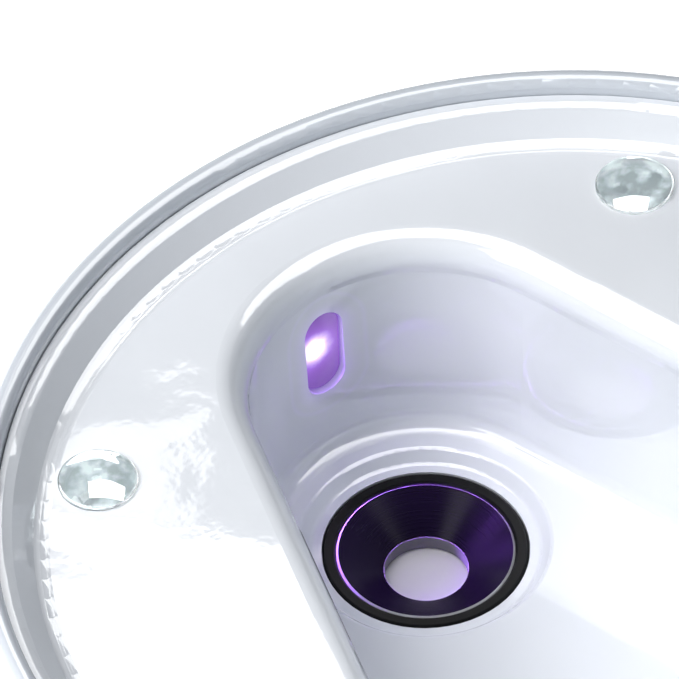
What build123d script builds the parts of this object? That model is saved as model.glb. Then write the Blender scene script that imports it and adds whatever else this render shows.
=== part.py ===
from build123d import *

import os
from math import asin, atan2, cos, degrees, hypot, radians, sin, sqrt, tan

# Round foot spa basin: a white tub with a wedge-shaped foot well sits in a round outer casing.
# The narrow end of the well holds a light window in its wall and an ultrasonic head in its floor.
# Millimetres, +Z up. The origin is on the floor under the middle of the round casing. The narrow
# end of the well points to +Y, and the control panel looks to -Y.

# ---------------------------------------------------------------- driving dimensions

wall = 3.0  # moulded plastic walls
seam_gap = 0.4  # around a piece that drops into another
slide_gap = 0.3  # around a piece that moves past another
thin_gap = 0.15  # around a piece that is pushed into a close seat

foot_height = 8.0  # rubber feet, below the base plate
plate_thickness = 3.0
under_floor = 39.6  # room between the base plate and the floor of the well
well_depth = 95.4  # from the ledge down to the floor of the well

# The well, seen from above: a round narrow end, two straight walls that flare, and a round far end.
well_shift = 3.0  # the well sits this far to +X of the middle of the basin
end_distance = 97.2  # from the middle of the basin to the middle of the narrow end
end_radius = 66.0
flare = 17.2  # degrees between each straight wall and the well's axis
far_radius = 146.0  # the far end, about the middle of the basin
far_corner = 40.0
draft = 2.5  # degrees
lip_radius = 12.0
floor_corner = 8.0

# The rim: ledge, sloping wall, narrow step, and the casing's round bead outside the step.
ledge_radius = 196.4
slope_run = 12.0
slope_rise = 12.7
slope_foot_fillet = 7.0
slope_top_fillet = 5.0
step_width = 4.5
bead_radius = 4.0
bead_rise = 3.7  # from the step up to the middle of the bead
gasket_thickness = 1.5
shelf_width = 4.0

# The casing's side, as radius and height: a soft foot corner, then one long shallow arc.
foot_ring_inset = 12.4  # how far inside the ledge's edge each of these stands
side_foot_inset = 3.4
foot_ring_radius = ledge_radius - foot_ring_inset
side_foot_radius = ledge_radius - side_foot_inset
side_foot_height = 14.0  # above the feet
foot_corner_angle = 39.6  # degrees above the floor, where the corner starts
neck_drop = 8.7  # from the step down to the top of the long arc

dome_radius = 15.2
dome_height = 6.6
dome_edge = 0.8
dome_inset = 18.4
dome_distance = ledge_radius - dome_inset
dome_glue = 0.2
dome_count = 4

# ---------------------------------------------------------------- heights and radii that follow

plate_bottom = foot_height
plate_top = plate_bottom + plate_thickness
floor_z = plate_top + under_floor
ledge_z = floor_z + well_depth
step_z = ledge_z + slope_rise
step_radius = ledge_radius + slope_run
tub_radius = step_radius + step_width
bead_inner = tub_radius + seam_gap
bead_centre = bead_inner + bead_radius
bead_z = step_z + bead_rise
shelf_z = step_z - wall - gasket_thickness
shelf_inner = tub_radius - shelf_width + seam_gap
neck_radius = bead_centre - 0.5
neck_z = step_z - neck_drop
draft_run = well_depth * tan(radians(draft))


os.makedirs("parts", exist_ok=True)


def arc_end_angle(start, end, angle):
    """Direction, in degrees, in which an arc leaves its end point when it starts at angle."""
    return 2 * degrees(atan2(end[1] - start[1], end[0] - start[0])) - angle


def arc_centre(start, end, angle):
    """Middle and radius of the arc from start to end that starts in direction angle."""
    chord = (end[0] - start[0], end[1] - start[1])
    turn = radians(degrees(atan2(chord[1], chord[0])) - angle)
    radius = hypot(*chord) / (2 * sin(turn))
    middle = (start[0] - radius * sin(radians(angle)), start[1] + radius * cos(radians(angle)))
    return middle, radius


side_start = (side_foot_radius, plate_bottom + side_foot_height)
side_end = (neck_radius, neck_z)
side_angle = arc_end_angle((foot_ring_radius, plate_bottom), side_start, foot_corner_angle)
side_middle, side_arc_radius = arc_centre(side_start, side_end, side_angle)


def side_radius(z):
    """Outer radius of the casing's side at height z, on the long arc."""
    return side_middle[0] + sqrt(side_arc_radius**2 - (z - side_middle[1]) ** 2)


def finish(part, name):
    """Names a finished piece and writes it to its own file."""
    part.label = name
    export_step(part, f"parts/{name}.step")


def screw(head_radius, head_height, shank_radius, shank_length, drive_radius):
    """A pan-head screw. Its head sits on the local XY plane and its shank points along +Z."""
    with BuildPart(Plane.XY) as made:
        Cylinder(head_radius, head_height, align=(Align.CENTER, Align.CENTER, Align.MAX))
        chamfer(made.edges().group_by(Axis.Z)[0], head_height * 0.35)
        Cylinder(shank_radius, shank_length, align=(Align.CENTER, Align.CENTER, Align.MIN))
        with BuildSketch(Plane.XY.offset(-head_height)):
            for turn in (0, 90):
                Rectangle(2 * drive_radius, 0.45 * drive_radius, rotation=turn)
        extrude(amount=head_height * 0.6, mode=Mode.SUBTRACT)
    return made.part


# ---------------------------------------------------------------- where things sit

# Screws from the casing's lugs up into the tub.
tub_screw_count = 6
tub_screw_inset = 12.4
tub_screw_distance = ledge_radius - tub_screw_inset
tub_boss_radius = 5.0
tub_boss_length = 28.0
lug_thickness = 4.0
lug_width = 20.0
self_tap_radius = 1.9
lug_z = ledge_z - wall - tub_boss_length  # top of the lugs

# Screws from the base plate up into the casing.
base_screw_count = 8
base_screw_inset = 10.0
base_screw_distance = foot_ring_radius - base_screw_inset
base_boss_radius = 5.0
base_boss_length = 28.0

foot_count = 4
foot_inset = 34.0
foot_distance = foot_ring_radius - foot_inset
foot_radius = 14.0

# The ultrasonic head, about the middle of the narrow end. Depths are below the floor of the well.
head_recess_radius = 48.5
head_recess_foot = 44.5
head_recess_depth = 4.9
head_recess_corner = 2.0
gasket_seat_depth = 8.7  # a pocket in the recess, where the gasket sits
head_hole_radius = 32.0
gasket_outer = 39.8
gasket_base = 1.0
gasket_top_depth = 4.6
cone_outer = 34.5
cone_rim_depth = 5.2
cone_chamfer = 0.8
cone_hole_radius = 16.3
cone_hole_depth = 16.1
neck_outer = 31.5
neck_length = 16.3
tube_outer = 21.5
tube_bore = 19.0
disc_depth = 22.9
disc_radius = 18.1
disc_thickness = 1.6
seal_lip = 0.8
seal_inner = 17.2
retainer_thickness = 3.9
head_nut_height = 7.0
head_nut_radius = 39.0
washer_thickness = 1.0

# The light window, in the wall of the narrow end.
window_turn = 0.0  # degrees from the well's axis
window_drop = 44.2  # middle of the window, below the ledge
window_height = 41.5
window_width = 17.6
window_recess = 1.7
window_flange = 2.0
window_flange_margin = 4.0
window_seal_thickness = 0.8
light_pad_depth = 5.0  # flat pad behind the wall, past its outer face
light_pad_width = 28.0
light_screw_margin = 10.25  # from the window's end to the screws, and from the screws to the pad's edge
light_pad_margin = 4.0
light_screw_spacing = window_height + 2 * light_screw_margin
light_pad_height = light_screw_spacing + 2 * light_pad_margin
holder_depth = 18.0
light_screw_radius = 1.4

end_middle = Vector(well_shift, end_distance)
window_angle = radians(90 + window_turn)
window_out = Vector(cos(window_angle), sin(window_angle), 0)
window_z = ledge_z - window_drop
window_wall = end_radius - window_drop * tan(radians(draft))  # inner face of the wall there
light_pad_face = window_wall + wall + light_pad_depth


def window_plane(distance):
    """Upright plane, distance from the middle of the narrow end, that looks outwards."""
    origin = Vector(well_shift, end_distance, window_z) + window_out * distance
    return Plane(origin=origin, x_dir=(-window_out.Y, window_out.X, 0), z_dir=window_out)


def head_z(depth):
    """Height of a point that lies depth below the floor of the well."""
    return floor_z - depth


# ---------------------------------------------------------------- tub


def well_outline(grow):
    """The well's outline on the ledge, grown outwards by grow, as a sketch face."""
    radius = end_radius + grow
    side = Vector(cos(radians(flare)), sin(radians(flare)))
    along = Vector(sin(radians(flare)), -cos(radians(flare)))
    tangent_point = Vector(0, end_distance) + side * radius
    far = far_radius + grow
    half = tangent_point.dot(along)
    reach = -half + sqrt(half**2 - tangent_point.dot(tangent_point) + far**2)
    corner = tangent_point + along * reach
    with BuildSketch() as outline:
        with BuildLine():
            Line(tangent_point, corner)
            ThreePointArc(corner, (0, -far), (-corner.X, corner.Y))
            Line((-corner.X, corner.Y), (-tangent_point.X, tangent_point.Y))
            ThreePointArc(
                (-tangent_point.X, tangent_point.Y), (0, end_distance + radius), tangent_point
            )
        make_face()
        fillet(outline.vertices().sort_by(Axis.Y)[:2], far_corner + grow)
    return outline.sketch


def well_body(grow, corner):
    """The well as a solid from the ledge down: grown by grow, with a rounded foot."""
    with BuildPart() as body:
        with BuildSketch(Plane.XY.offset(ledge_z)):
            with Locations((well_shift, 0)):
                add(well_outline(grow))
        extrude(amount=-(well_depth + grow), taper=draft)
        fillet(body.edges().group_by(Axis.Z)[0], corner)
    return body.part


with BuildPart() as basin_tub:
    with BuildSketch(Plane.XZ) as rim_section:
        with BuildLine():
            FilletPolyline(
                (0, ledge_z),
                (ledge_radius, ledge_z),
                (step_radius, step_z),
                (tub_radius, step_z),
                radius=[slope_foot_fillet, slope_top_fillet],
            )
            offset(amount=wall, side=Side.RIGHT)
        make_face()
    revolve(axis=Axis.Z)
    add(well_body(wall, floor_corner + wall))
    under_lip = basin_tub.edges().filter_by(
        lambda edge: abs(edge.center().Z - (ledge_z - wall)) < 0.5
        and hypot(edge.position_at(0).X, edge.position_at(0).Y) < ledge_radius - 15
    )
    fillet(under_lip, lip_radius - wall)
    # stepped cup under the recess of the ultrasonic head
    with BuildSketch(Plane.XY.offset(head_z(head_recess_depth + wall))):
        with Locations(end_middle):
            Circle(head_recess_radius + wall)
    extrude(amount=head_recess_depth)
    with BuildSketch(Plane.XY.offset(head_z(gasket_seat_depth + wall))):
        with Locations(end_middle):
            Circle(gasket_outer + seam_gap + wall)
    extrude(amount=gasket_seat_depth)
    # flat pad behind the wall for the light
    with BuildSketch(window_plane(light_pad_face)):
        RectangleRounded(light_pad_width, light_pad_height, 4)
    extrude(amount=-(light_pad_depth + wall + 4))
    # bosses for the screws that hold the tub down
    with BuildSketch(Plane.XY.offset(lug_z)):
        with PolarLocations(tub_screw_distance, tub_screw_count):
            Circle(tub_boss_radius)
    extrude(amount=tub_boss_length + wall / 2)
    # the hollow of the well, and the rounded lip round it
    add(well_body(0, floor_corner), mode=Mode.SUBTRACT)
    lip = basin_tub.edges().filter_by(
        lambda edge: abs(edge.center().Z - ledge_z) < 0.01
        and hypot(edge.position_at(0).X, edge.position_at(0).Y) < ledge_radius - 15
    )
    fillet(lip, lip_radius)
    # recess and hole of the ultrasonic head
    with BuildSketch(Plane.XY.offset(floor_z)):
        with Locations(end_middle):
            Circle(head_recess_radius)
    with BuildSketch(Plane.XY.offset(head_z(head_recess_depth))):
        with Locations(end_middle):
            Circle(head_recess_foot)
    loft(mode=Mode.SUBTRACT)
    recess_rings = basin_tub.edges().filter_by(GeomType.CIRCLE).filter_by(
        lambda edge: abs(edge.arc_center.Y - end_distance) < 0.1
        and (
            abs(edge.radius - head_recess_radius) < 0.01 and abs(edge.center().Z - floor_z) < 0.1
            or abs(edge.radius - head_recess_foot) < 0.01
        )
    )
    fillet(recess_rings, head_recess_corner)
    with BuildSketch(Plane.XY.offset(head_z(gasket_seat_depth))):
        with Locations(end_middle):
            Circle(gasket_outer + seam_gap)
    extrude(amount=gasket_seat_depth, mode=Mode.SUBTRACT)
    with BuildSketch(Plane.XY.offset(head_z(gasket_seat_depth))):
        with Locations(end_middle):
            Circle(head_hole_radius)
    extrude(amount=-2 * wall, mode=Mode.SUBTRACT)
    # window opening and the pilot holes beside it
    with BuildSketch(window_plane(window_wall - 10)):
        SlotOverall(window_height, window_width, rotation=90)
    extrude(amount=light_pad_depth + wall + 20, mode=Mode.SUBTRACT)
    with BuildSketch(window_plane(light_pad_face)):
        with GridLocations(0, light_screw_spacing, 1, 2):
            Circle(light_screw_radius)
    extrude(amount=-light_pad_depth, mode=Mode.SUBTRACT)
    # pilot holes in the bosses
    with BuildSketch(Plane.XY.offset(lug_z)):
        with PolarLocations(tub_screw_distance, tub_screw_count):
            Circle(self_tap_radius)
    extrude(amount=tub_boss_length - wall, mode=Mode.SUBTRACT)

finish(basin_tub.part, "basin_tub")

# ---------------------------------------------------------------- casing

flange_width = 18.0
flange_inner = foot_ring_radius - flange_width
flange_thickness = 3.0
foot_ring_width = 4.0
shelf_thickness = 3.0

panel_z = 95.0
panel_offset = 0.6
panel_back = ledge_radius + panel_offset  # basin's axis to the flat face behind the panel
panel_width = 90.0
panel_height = 44.0
panel_corner = 8.0
panel_thickness = 5.0
panel_screw_x = 78.0
panel_screw_y = 30.0
panel_front = panel_back + panel_thickness
button_x = -27.0
knob_x = 27.0
pipe_count = 5
pipe_pitch = 5.0
pipe_radius = 1.5
board_post_length = 8.0
board_post_radius = 3.0
board_screw_x = 58.0
board_screw_y = 28.0
fine_pilot = 1.2
fine_clear = 1.6
button_stem_radius = 2.5
knob_shaft_radius = 3.0

inlet_z = 30.0
inlet_inset = 9.4
inlet_face = ledge_radius - inlet_inset
inlet_width = 26.0
inlet_height = 18.0
bushing_radius = 5.5

side_foot_inner = plate_top + flange_thickness
inner_arc_radius = side_arc_radius - wall


def cavity_radius(z):
    """Inner radius of the casing's side at height z."""
    return side_middle[0] + sqrt(inner_arc_radius**2 - (z - side_middle[1]) ** 2)


def panel_plane(distance):
    """Upright plane in front of the basin, distance from its axis, that looks to -Y."""
    return Plane(origin=(0, -distance, panel_z), x_dir=(1, 0, 0), z_dir=(0, -1, 0))


def inlet_plane(distance):
    """Upright plane behind the basin, distance from its axis, that looks to +Y."""
    return Plane(origin=(0, distance, inlet_z), x_dir=(-1, 0, 0), z_dir=(0, 1, 0))


def radial_plane(angle):
    """Upright plane through the basin's axis: local x runs outwards at angle, local y runs up."""
    turn = radians(angle)
    return Plane(origin=(0, 0, 0), x_dir=(cos(turn), sin(turn), 0), z_dir=(sin(turn), -cos(turn), 0))


base_screw_angles = [22.5 + 45.0 * k for k in range(base_screw_count)]
tub_screw_angles = [360.0 / tub_screw_count * k for k in range(tub_screw_count)]
base_rib_top = plate_top + base_boss_length
lug_gusset = 30.0

with BuildPart() as casing_cavity:
    with BuildSketch(Plane.XZ):
        with BuildLine():
            Polyline(
                (0, plate_bottom - 5),
                (foot_ring_radius - foot_ring_width, plate_bottom - 5),
                (foot_ring_radius - foot_ring_width, plate_top),
                (flange_inner, plate_top),
                (flange_inner, side_foot_inner),
                (foot_ring_radius + 2, side_foot_inner),
                (cavity_radius(side_foot_height + 12), side_foot_height + 12),
            )
            ThreePointArc(
                (cavity_radius(side_foot_height + 12), side_foot_height + 12),
                (cavity_radius(neck_z / 2), neck_z / 2),
                (cavity_radius(neck_z), neck_z),
            )
            Polyline(
                (cavity_radius(neck_z), neck_z),
                (cavity_radius(neck_z), shelf_z - shelf_thickness),
                (shelf_inner, shelf_z - shelf_thickness),
                (shelf_inner, shelf_z),
                (bead_inner, shelf_z),
                (bead_inner, bead_z + 20),
                (0, bead_z + 20),
                (0, plate_bottom - 5),
            )
        make_face()
    revolve(axis=Axis.Z)
    # what stays solid inside the casing: bosses and ribs for the base plate's screws
    with BuildSketch(Plane.XY.offset(plate_top)):
        with PolarLocations(base_screw_distance, base_screw_count, start_angle=22.5):
            Circle(base_boss_radius)
    extrude(amount=base_boss_length, mode=Mode.SUBTRACT)
    for angle in base_screw_angles:
        with BuildSketch(radial_plane(angle)):
            with BuildLine():
                Polyline(
                    (base_screw_distance, plate_top + 1),
                    (tub_radius, plate_top + 1),
                    (tub_radius, base_rib_top),
                    (base_screw_distance, base_rib_top),
                    close=True,
                )
            make_face()
        extrude(amount=wall / 2, both=True, mode=Mode.SUBTRACT)
    # lugs for the tub's screws, each on a gusset
    for angle in tub_screw_angles:
        with BuildSketch(Plane.XY.offset(lug_z)):
            with Locations(Plane.XY.rotated((0, 0, angle))):
                with Locations((tub_screw_distance + lug_width, 0)):
                    Rectangle(2 * lug_width + lug_width, lug_width)
        extrude(amount=-lug_thickness, mode=Mode.SUBTRACT)
        with BuildSketch(radial_plane(angle)):
            with BuildLine():
                Polyline(
                    (tub_screw_distance + lug_thickness + tub_boss_radius, lug_z - lug_thickness / 2),
                    (tub_radius + wall, lug_z - lug_thickness / 2),
                    (tub_radius + wall, lug_z - lug_gusset),
                    (tub_radius - 3 * wall, lug_z - lug_gusset),
                    close=True,
                )
            make_face()
        extrude(amount=wall / 2, both=True, mode=Mode.SUBTRACT)
    # blocks behind the control panel and the power inlet
    with BuildSketch(panel_plane(panel_back - wall)):
        RectangleRounded(panel_width + 2 * wall, panel_height + 2 * wall, panel_corner + wall)
    extrude(amount=6 * lug_width, mode=Mode.SUBTRACT)
    with BuildSketch(inlet_plane(inlet_face - wall)):
        RectangleRounded(inlet_width + 2 * wall, inlet_height + 2 * wall, 3 + wall)
    extrude(amount=6 * lug_width, mode=Mode.SUBTRACT)
    with BuildSketch(panel_plane(panel_back - wall)):
        with GridLocations(board_screw_x, board_screw_y, 2, 2):
            Circle(board_post_radius)
    extrude(amount=-board_post_length, mode=Mode.SUBTRACT)

with BuildPart() as outer_casing:
    with BuildSketch(Plane.XZ):
        with BuildLine():
            foot_arc_middle, foot_arc_radius = arc_centre(
                (foot_ring_radius, plate_bottom), side_start, foot_corner_angle
            )
            foot_half_angle = radians((foot_corner_angle + side_angle) / 2)
            Line((0, plate_bottom), (foot_ring_radius, plate_bottom))
            ThreePointArc(
                (foot_ring_radius, plate_bottom),
                (
                    foot_arc_middle[0] + foot_arc_radius * sin(foot_half_angle),
                    foot_arc_middle[1] - foot_arc_radius * cos(foot_half_angle),
                ),
                side_start,
            )
            ThreePointArc(side_start, (side_radius(neck_z / 2), neck_z / 2), side_end)
            Polyline(side_end, (neck_radius, bead_z), (0, bead_z), (0, plate_bottom))
        make_face()
        with Locations((bead_centre, bead_z)):
            Circle(bead_radius)
    revolve(axis=Axis.Z)
    add(casing_cavity.part, mode=Mode.SUBTRACT)
    # pocket and holes of the control panel
    with BuildSketch(panel_plane(panel_back)):
        RectangleRounded(panel_width, panel_height, panel_corner)
    extrude(amount=6 * lug_width, mode=Mode.SUBTRACT)
    with BuildSketch(panel_plane(panel_back)):
        with GridLocations(panel_screw_x, panel_screw_y, 2, 2):
            Circle(fine_clear)
        with Locations((button_x, 0)):
            Circle(button_stem_radius + 2 * slide_gap)
        with Locations((knob_x, 0)):
            Circle(knob_shaft_radius + slide_gap)
        with GridLocations(pipe_pitch, 0, pipe_count, 1):
            Circle(pipe_radius + slide_gap)
    extrude(amount=-wall, mode=Mode.SUBTRACT)
    with BuildSketch(panel_plane(panel_back - wall - board_post_length)):
        with GridLocations(board_screw_x, board_screw_y, 2, 2):
            Circle(fine_pilot)
    extrude(amount=board_post_length, mode=Mode.SUBTRACT)
    # pocket and hole of the power inlet
    with BuildSketch(inlet_plane(inlet_face)):
        RectangleRounded(inlet_width, inlet_height, 3)
    extrude(amount=6 * lug_width, mode=Mode.SUBTRACT)
    with BuildSketch(inlet_plane(inlet_face)):
        Circle(bushing_radius + seam_gap)
    extrude(amount=-wall, mode=Mode.SUBTRACT)
    # holes for the screws
    with BuildSketch(Plane.XY.offset(plate_top)):
        with PolarLocations(base_screw_distance, base_screw_count, start_angle=22.5):
            Circle(self_tap_radius)
    extrude(amount=base_boss_length - wall, mode=Mode.SUBTRACT)
    with BuildSketch(Plane.XY.offset(lug_z)):
        with PolarLocations(tub_screw_distance, tub_screw_count):
            Circle(self_tap_radius + seam_gap)
    extrude(amount=-lug_thickness, mode=Mode.SUBTRACT)

finish(outer_casing.part, "outer_casing")

with BuildPart() as rim_gasket:
    with BuildSketch(Plane.XY.offset(shelf_z)):
        Circle(tub_radius)
        Circle(tub_radius - shelf_width / 2, mode=Mode.SUBTRACT)
    extrude(amount=gasket_thickness)

finish(rim_gasket.part, "rim_gasket")

tub_screw_shank = self_tap_radius - thin_gap
with BuildPart() as tub_screws:
    with Locations(Plane.XY.offset(lug_z - lug_thickness)):
        with PolarLocations(tub_screw_distance, tub_screw_count):
            add(screw(4.0, 2.6, tub_screw_shank, lug_thickness + 18, 2.0))

finish(tub_screws.part, "tub_screws")

# ---------------------------------------------------------------- base plate and feet

plate_radius = foot_ring_radius - foot_ring_width - seam_gap
foot_boss_height = 9.0
foot_boss_radius = 5.0
board_x = 110.0
board_y = 72.0
board_thickness = 1.6
board_middle = (0, -60)
post_height = 8.0
post_radius = 4.0
post_x = 98.0
post_y = 60.0
board_z = plate_top + post_height
board_top = board_z + board_thickness
vent_length = 40.0
vent_width = 3.2
vent_pitch = 8.0
vent_count = 8
vent_y = 15.0
vent_x = 150.0

with BuildPart() as base_plate:
    with BuildSketch(Plane.XY.offset(plate_bottom)):
        Circle(plate_radius)
    extrude(amount=plate_thickness)
    with BuildSketch(Plane.XY.offset(plate_top)):
        with PolarLocations(foot_distance, foot_count, start_angle=45):
            Circle(foot_boss_radius)
    extrude(amount=foot_boss_height)
    with BuildSketch(Plane.XY.offset(plate_top)):
        with Locations(board_middle):
            with GridLocations(post_x, post_y, 2, 2):
                Circle(post_radius)
    extrude(amount=post_height)
    with BuildSketch(Plane.XY.offset(plate_bottom)):
        with PolarLocations(foot_distance, foot_count, start_angle=45):
            Circle(self_tap_radius)
    extrude(amount=foot_boss_height + wall - 1.5, mode=Mode.SUBTRACT)
    with BuildSketch(Plane.XY.offset(plate_bottom)):
        with PolarLocations(base_screw_distance, base_screw_count, start_angle=22.5):
            Circle(self_tap_radius + seam_gap)
        with Locations((-vent_x / 2, vent_y), (vent_x / 2, vent_y)):
            with GridLocations(vent_pitch, 0, vent_count, 1):
                SlotOverall(vent_length, vent_width, rotation=90)
    extrude(amount=plate_thickness, mode=Mode.SUBTRACT)
    with BuildSketch(Plane.XY.offset(board_z)):
        with Locations(board_middle):
            with GridLocations(post_x, post_y, 2, 2):
                Circle(fine_pilot)
    extrude(amount=-(post_height - 1), mode=Mode.SUBTRACT)

finish(base_plate.part, "base_plate")

with BuildPart() as base_screws:
    with Locations(Plane.XY.offset(plate_bottom)):
        with PolarLocations(base_screw_distance, base_screw_count, start_angle=22.5):
            add(screw(4.0, 2.6, tub_screw_shank, plate_thickness + 16, 2.0))

finish(base_screws.part, "base_screws")

foot_sink = 4.5  # the screw's head sits this far up inside each foot
with BuildPart() as rubber_feet:
    with Locations(Plane.XY):
        with PolarLocations(foot_distance, foot_count, start_angle=45):
            Cylinder(foot_radius, foot_height, align=(Align.CENTER, Align.CENTER, Align.MIN))
    fillet(rubber_feet.edges().group_by(Axis.Z)[0], 1.5)
    with BuildSketch(Plane.XY):
        with PolarLocations(foot_distance, foot_count, start_angle=45):
            Circle(4.0 + seam_gap)
    extrude(amount=foot_sink, mode=Mode.SUBTRACT)
    with BuildSketch(Plane.XY):
        with PolarLocations(foot_distance, foot_count, start_angle=45):
            Circle(self_tap_radius + thin_gap)
    extrude(amount=foot_height, mode=Mode.SUBTRACT)

finish(rubber_feet.part, "rubber_feet")

with BuildPart() as foot_screws:
    with Locations(Plane.XY.offset(foot_sink)):
        with PolarLocations(foot_distance, foot_count, start_angle=45):
            add(screw(4.0, 2.6, tub_screw_shank, foot_height - foot_sink + 9, 2.0))

finish(foot_screws.part, "foot_screws")

# ---------------------------------------------------------------- clear domes on the ledge

dome_cap = dome_height - dome_edge - dome_glue
dome_sphere = (dome_radius**2 + dome_cap**2) / (2 * dome_cap)
dome_base = ledge_z + dome_glue

with BuildPart() as bumper_domes:
    with BuildSketch(Plane.XZ):
        with BuildLine():
            Polyline(
                (0, dome_base + dome_edge + dome_cap),
                (0, dome_base),
                (dome_radius, dome_base),
                (dome_radius, dome_base + dome_edge),
            )
            ThreePointArc(
                (dome_radius, dome_base + dome_edge),
                (
                    dome_radius / 2,
                    dome_base + dome_edge + dome_cap - dome_sphere
                    + sqrt(dome_sphere**2 - dome_radius**2 / 4),
                ),
                (0, dome_base + dome_edge + dome_cap),
            )
        make_face()
    revolve(axis=Axis.Z)
dome_shape = bumper_domes.part

with BuildPart() as domes:
    with PolarLocations(dome_distance, dome_count, start_angle=45):
        add(dome_shape)

finish(domes.part, "bumper_domes")

with BuildPart() as dome_pads:
    with BuildSketch(Plane.XY.offset(ledge_z)):
        with PolarLocations(dome_distance, dome_count, start_angle=45):
            Circle(dome_radius - 0.6)
    extrude(amount=dome_glue)

finish(dome_pads.part, "dome_pads")

# ---------------------------------------------------------------- ultrasonic head


def turned(points):
    """A turned piece about the middle of the narrow end, from (radius, depth) points."""
    with BuildPart() as made:
        with BuildSketch(Plane.XZ):
            with BuildLine():
                Polyline(*[(r, head_z(depth)) for r, depth in points], close=True)
            make_face()
        revolve(axis=Axis.Z)
    with BuildPart() as placed:
        with Locations((well_shift, end_distance, 0)):
            add(made.part)
    return placed.part


flange_under = gasket_seat_depth - gasket_base
neck_end = flange_under + neck_length
neck_wall = 3.0
seat_depth = disc_depth - seal_lip
seal_end = disc_depth + disc_thickness + seal_lip
tube_end = seal_end + retainer_thickness
cone_floor = cone_hole_depth + 2.0
cone_top_inner = cone_outer - cone_chamfer

cone = turned(
    [
        (cone_top_inner, cone_rim_depth),
        (cone_hole_radius, cone_hole_depth),
        (cone_hole_radius, seat_depth),
        (tube_bore, seat_depth),
        (tube_bore, tube_end),
        (tube_outer, tube_end),
        (tube_outer, cone_floor + 1),
        (neck_outer - neck_wall, cone_floor - 1),
        (neck_outer - neck_wall, neck_end),
        (neck_outer, neck_end),
        (neck_outer, flange_under),
        (cone_outer, flange_under),
        (cone_outer, cone_rim_depth + cone_chamfer),
    ]
)
finish(cone, "head_cone")

gasket = turned(
    [
        (neck_outer + seam_gap, gasket_seat_depth),
        (gasket_outer, gasket_seat_depth),
        (gasket_outer, gasket_top_depth + 1.0),
        (gasket_outer - 1.0, gasket_top_depth),
        (cone_outer + 1.0, gasket_top_depth),
        (cone_outer + thin_gap, gasket_top_depth + 0.8),
        (cone_outer + thin_gap, flange_under),
        (neck_outer + seam_gap, flange_under),
    ]
)
finish(gasket, "head_gasket")

seal = turned(
    [
        (seal_inner, seat_depth),
        (tube_bore - thin_gap, seat_depth),
        (tube_bore - thin_gap, seal_end),
        (seal_inner, seal_end),
        (seal_inner, disc_depth + disc_thickness),
        (disc_radius + thin_gap, disc_depth + disc_thickness),
        (disc_radius + thin_gap, disc_depth),
        (seal_inner, disc_depth),
    ]
)
finish(seal, "disc_seal")

disc = turned(
    [
        (0, disc_depth),
        (disc_radius, disc_depth),
        (disc_radius, disc_depth + disc_thickness),
        (0, disc_depth + disc_thickness),
    ]
)
finish(disc, "ceramic_disc")

with BuildPart() as disc_retainer:
    with BuildSketch(Plane.XY.offset(head_z(seal_end))):
        with Locations(end_middle):
            Circle(tube_bore - thin_gap)
            Circle(seal_inner - 3, mode=Mode.SUBTRACT)
    extrude(amount=-retainer_thickness)
    with BuildSketch(Plane.XY.offset(head_z(tube_end))):
        with Locations(end_middle):
            with PolarLocations(seal_inner - 2, 4):
                Rectangle(5, 3)
    extrude(amount=2, mode=Mode.SUBTRACT)

finish(disc_retainer.part, "disc_retainer")

washer_top = gasket_seat_depth + wall
with BuildPart() as head_washer:
    with BuildSketch(Plane.XY.offset(head_z(washer_top))):
        with Locations(end_middle):
            Circle(head_nut_radius + 1)
            Circle(neck_outer + seam_gap, mode=Mode.SUBTRACT)
    extrude(amount=-washer_thickness)

finish(head_washer.part, "head_washer")

nut_grips = 12
with BuildPart() as head_nut:
    with BuildSketch(Plane.XY.offset(head_z(washer_top + washer_thickness))):
        with Locations(end_middle):
            Circle(head_nut_radius)
            Circle(neck_outer + thin_gap, mode=Mode.SUBTRACT)
            with PolarLocations(head_nut_radius + 1.5, nut_grips):
                Circle(3.5, mode=Mode.SUBTRACT)
    extrude(amount=-head_nut_height)

finish(head_nut.part, "head_nut")

cap_top = neck_end - 1.0
cap_end = tube_end + 5.0
cap_wall = 2.0
cap_lead_radius = 1.6
cap_lead_rise = 0.6
cap_lead_z = head_z(cap_end - cap_wall - cap_lead_radius - cap_lead_rise)
with BuildPart() as head_cap:
    with BuildSketch(Plane.XY.offset(head_z(cap_end))):
        with Locations(end_middle):
            Circle(tube_outer + thin_gap + cap_wall)
    extrude(amount=cap_end - cap_top)
    with BuildSketch(Plane.XY.offset(head_z(cap_top))):
        with Locations(end_middle):
            Circle(tube_outer + thin_gap)
    extrude(amount=-(cap_end - cap_top - cap_wall), mode=Mode.SUBTRACT)
    with BuildSketch(Plane.XZ.offset(-end_distance)):
        with Locations((well_shift, cap_lead_z)):
            Circle(cap_lead_radius)
    extrude(amount=2 * tube_outer, mode=Mode.SUBTRACT)

finish(head_cap.part, "head_cap")

# ---------------------------------------------------------------- light window

lens_front = window_wall + window_recess
seal_back = light_pad_face + window_seal_thickness
lens_back = seal_back + window_flange
flange_height = window_height + 2 * window_flange_margin
flange_width = window_width + 2 * window_flange_margin
holder_wall = 2.0
holder_height = flange_height + 2 * seam_gap + 2 * holder_wall
holder_width = flange_width + 2 * seam_gap + 2 * holder_wall
holder_back = light_pad_face + holder_depth
led_board_face = lens_back + 6.0
led_board_thickness = 1.6
led_count = 3
led_pitch = 11.0
led_size = 3.5
led_height = 1.2

with BuildPart() as light_lens:
    with BuildSketch(window_plane(lens_front)):
        SlotOverall(window_height - 2 * slide_gap, window_width - 2 * slide_gap, rotation=90)
    extrude(amount=lens_back - lens_front)
    front_edges = light_lens.edges().filter_by(
        lambda edge: abs((edge.center() - Vector(well_shift, end_distance)).dot(window_out) - lens_front)
        < 0.01
    )
    fillet(front_edges, 0.8)
    with BuildSketch(window_plane(seal_back)):
        SlotOverall(flange_height, flange_width, rotation=90)
    extrude(amount=window_flange)

finish(light_lens.part, "light_lens")

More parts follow.
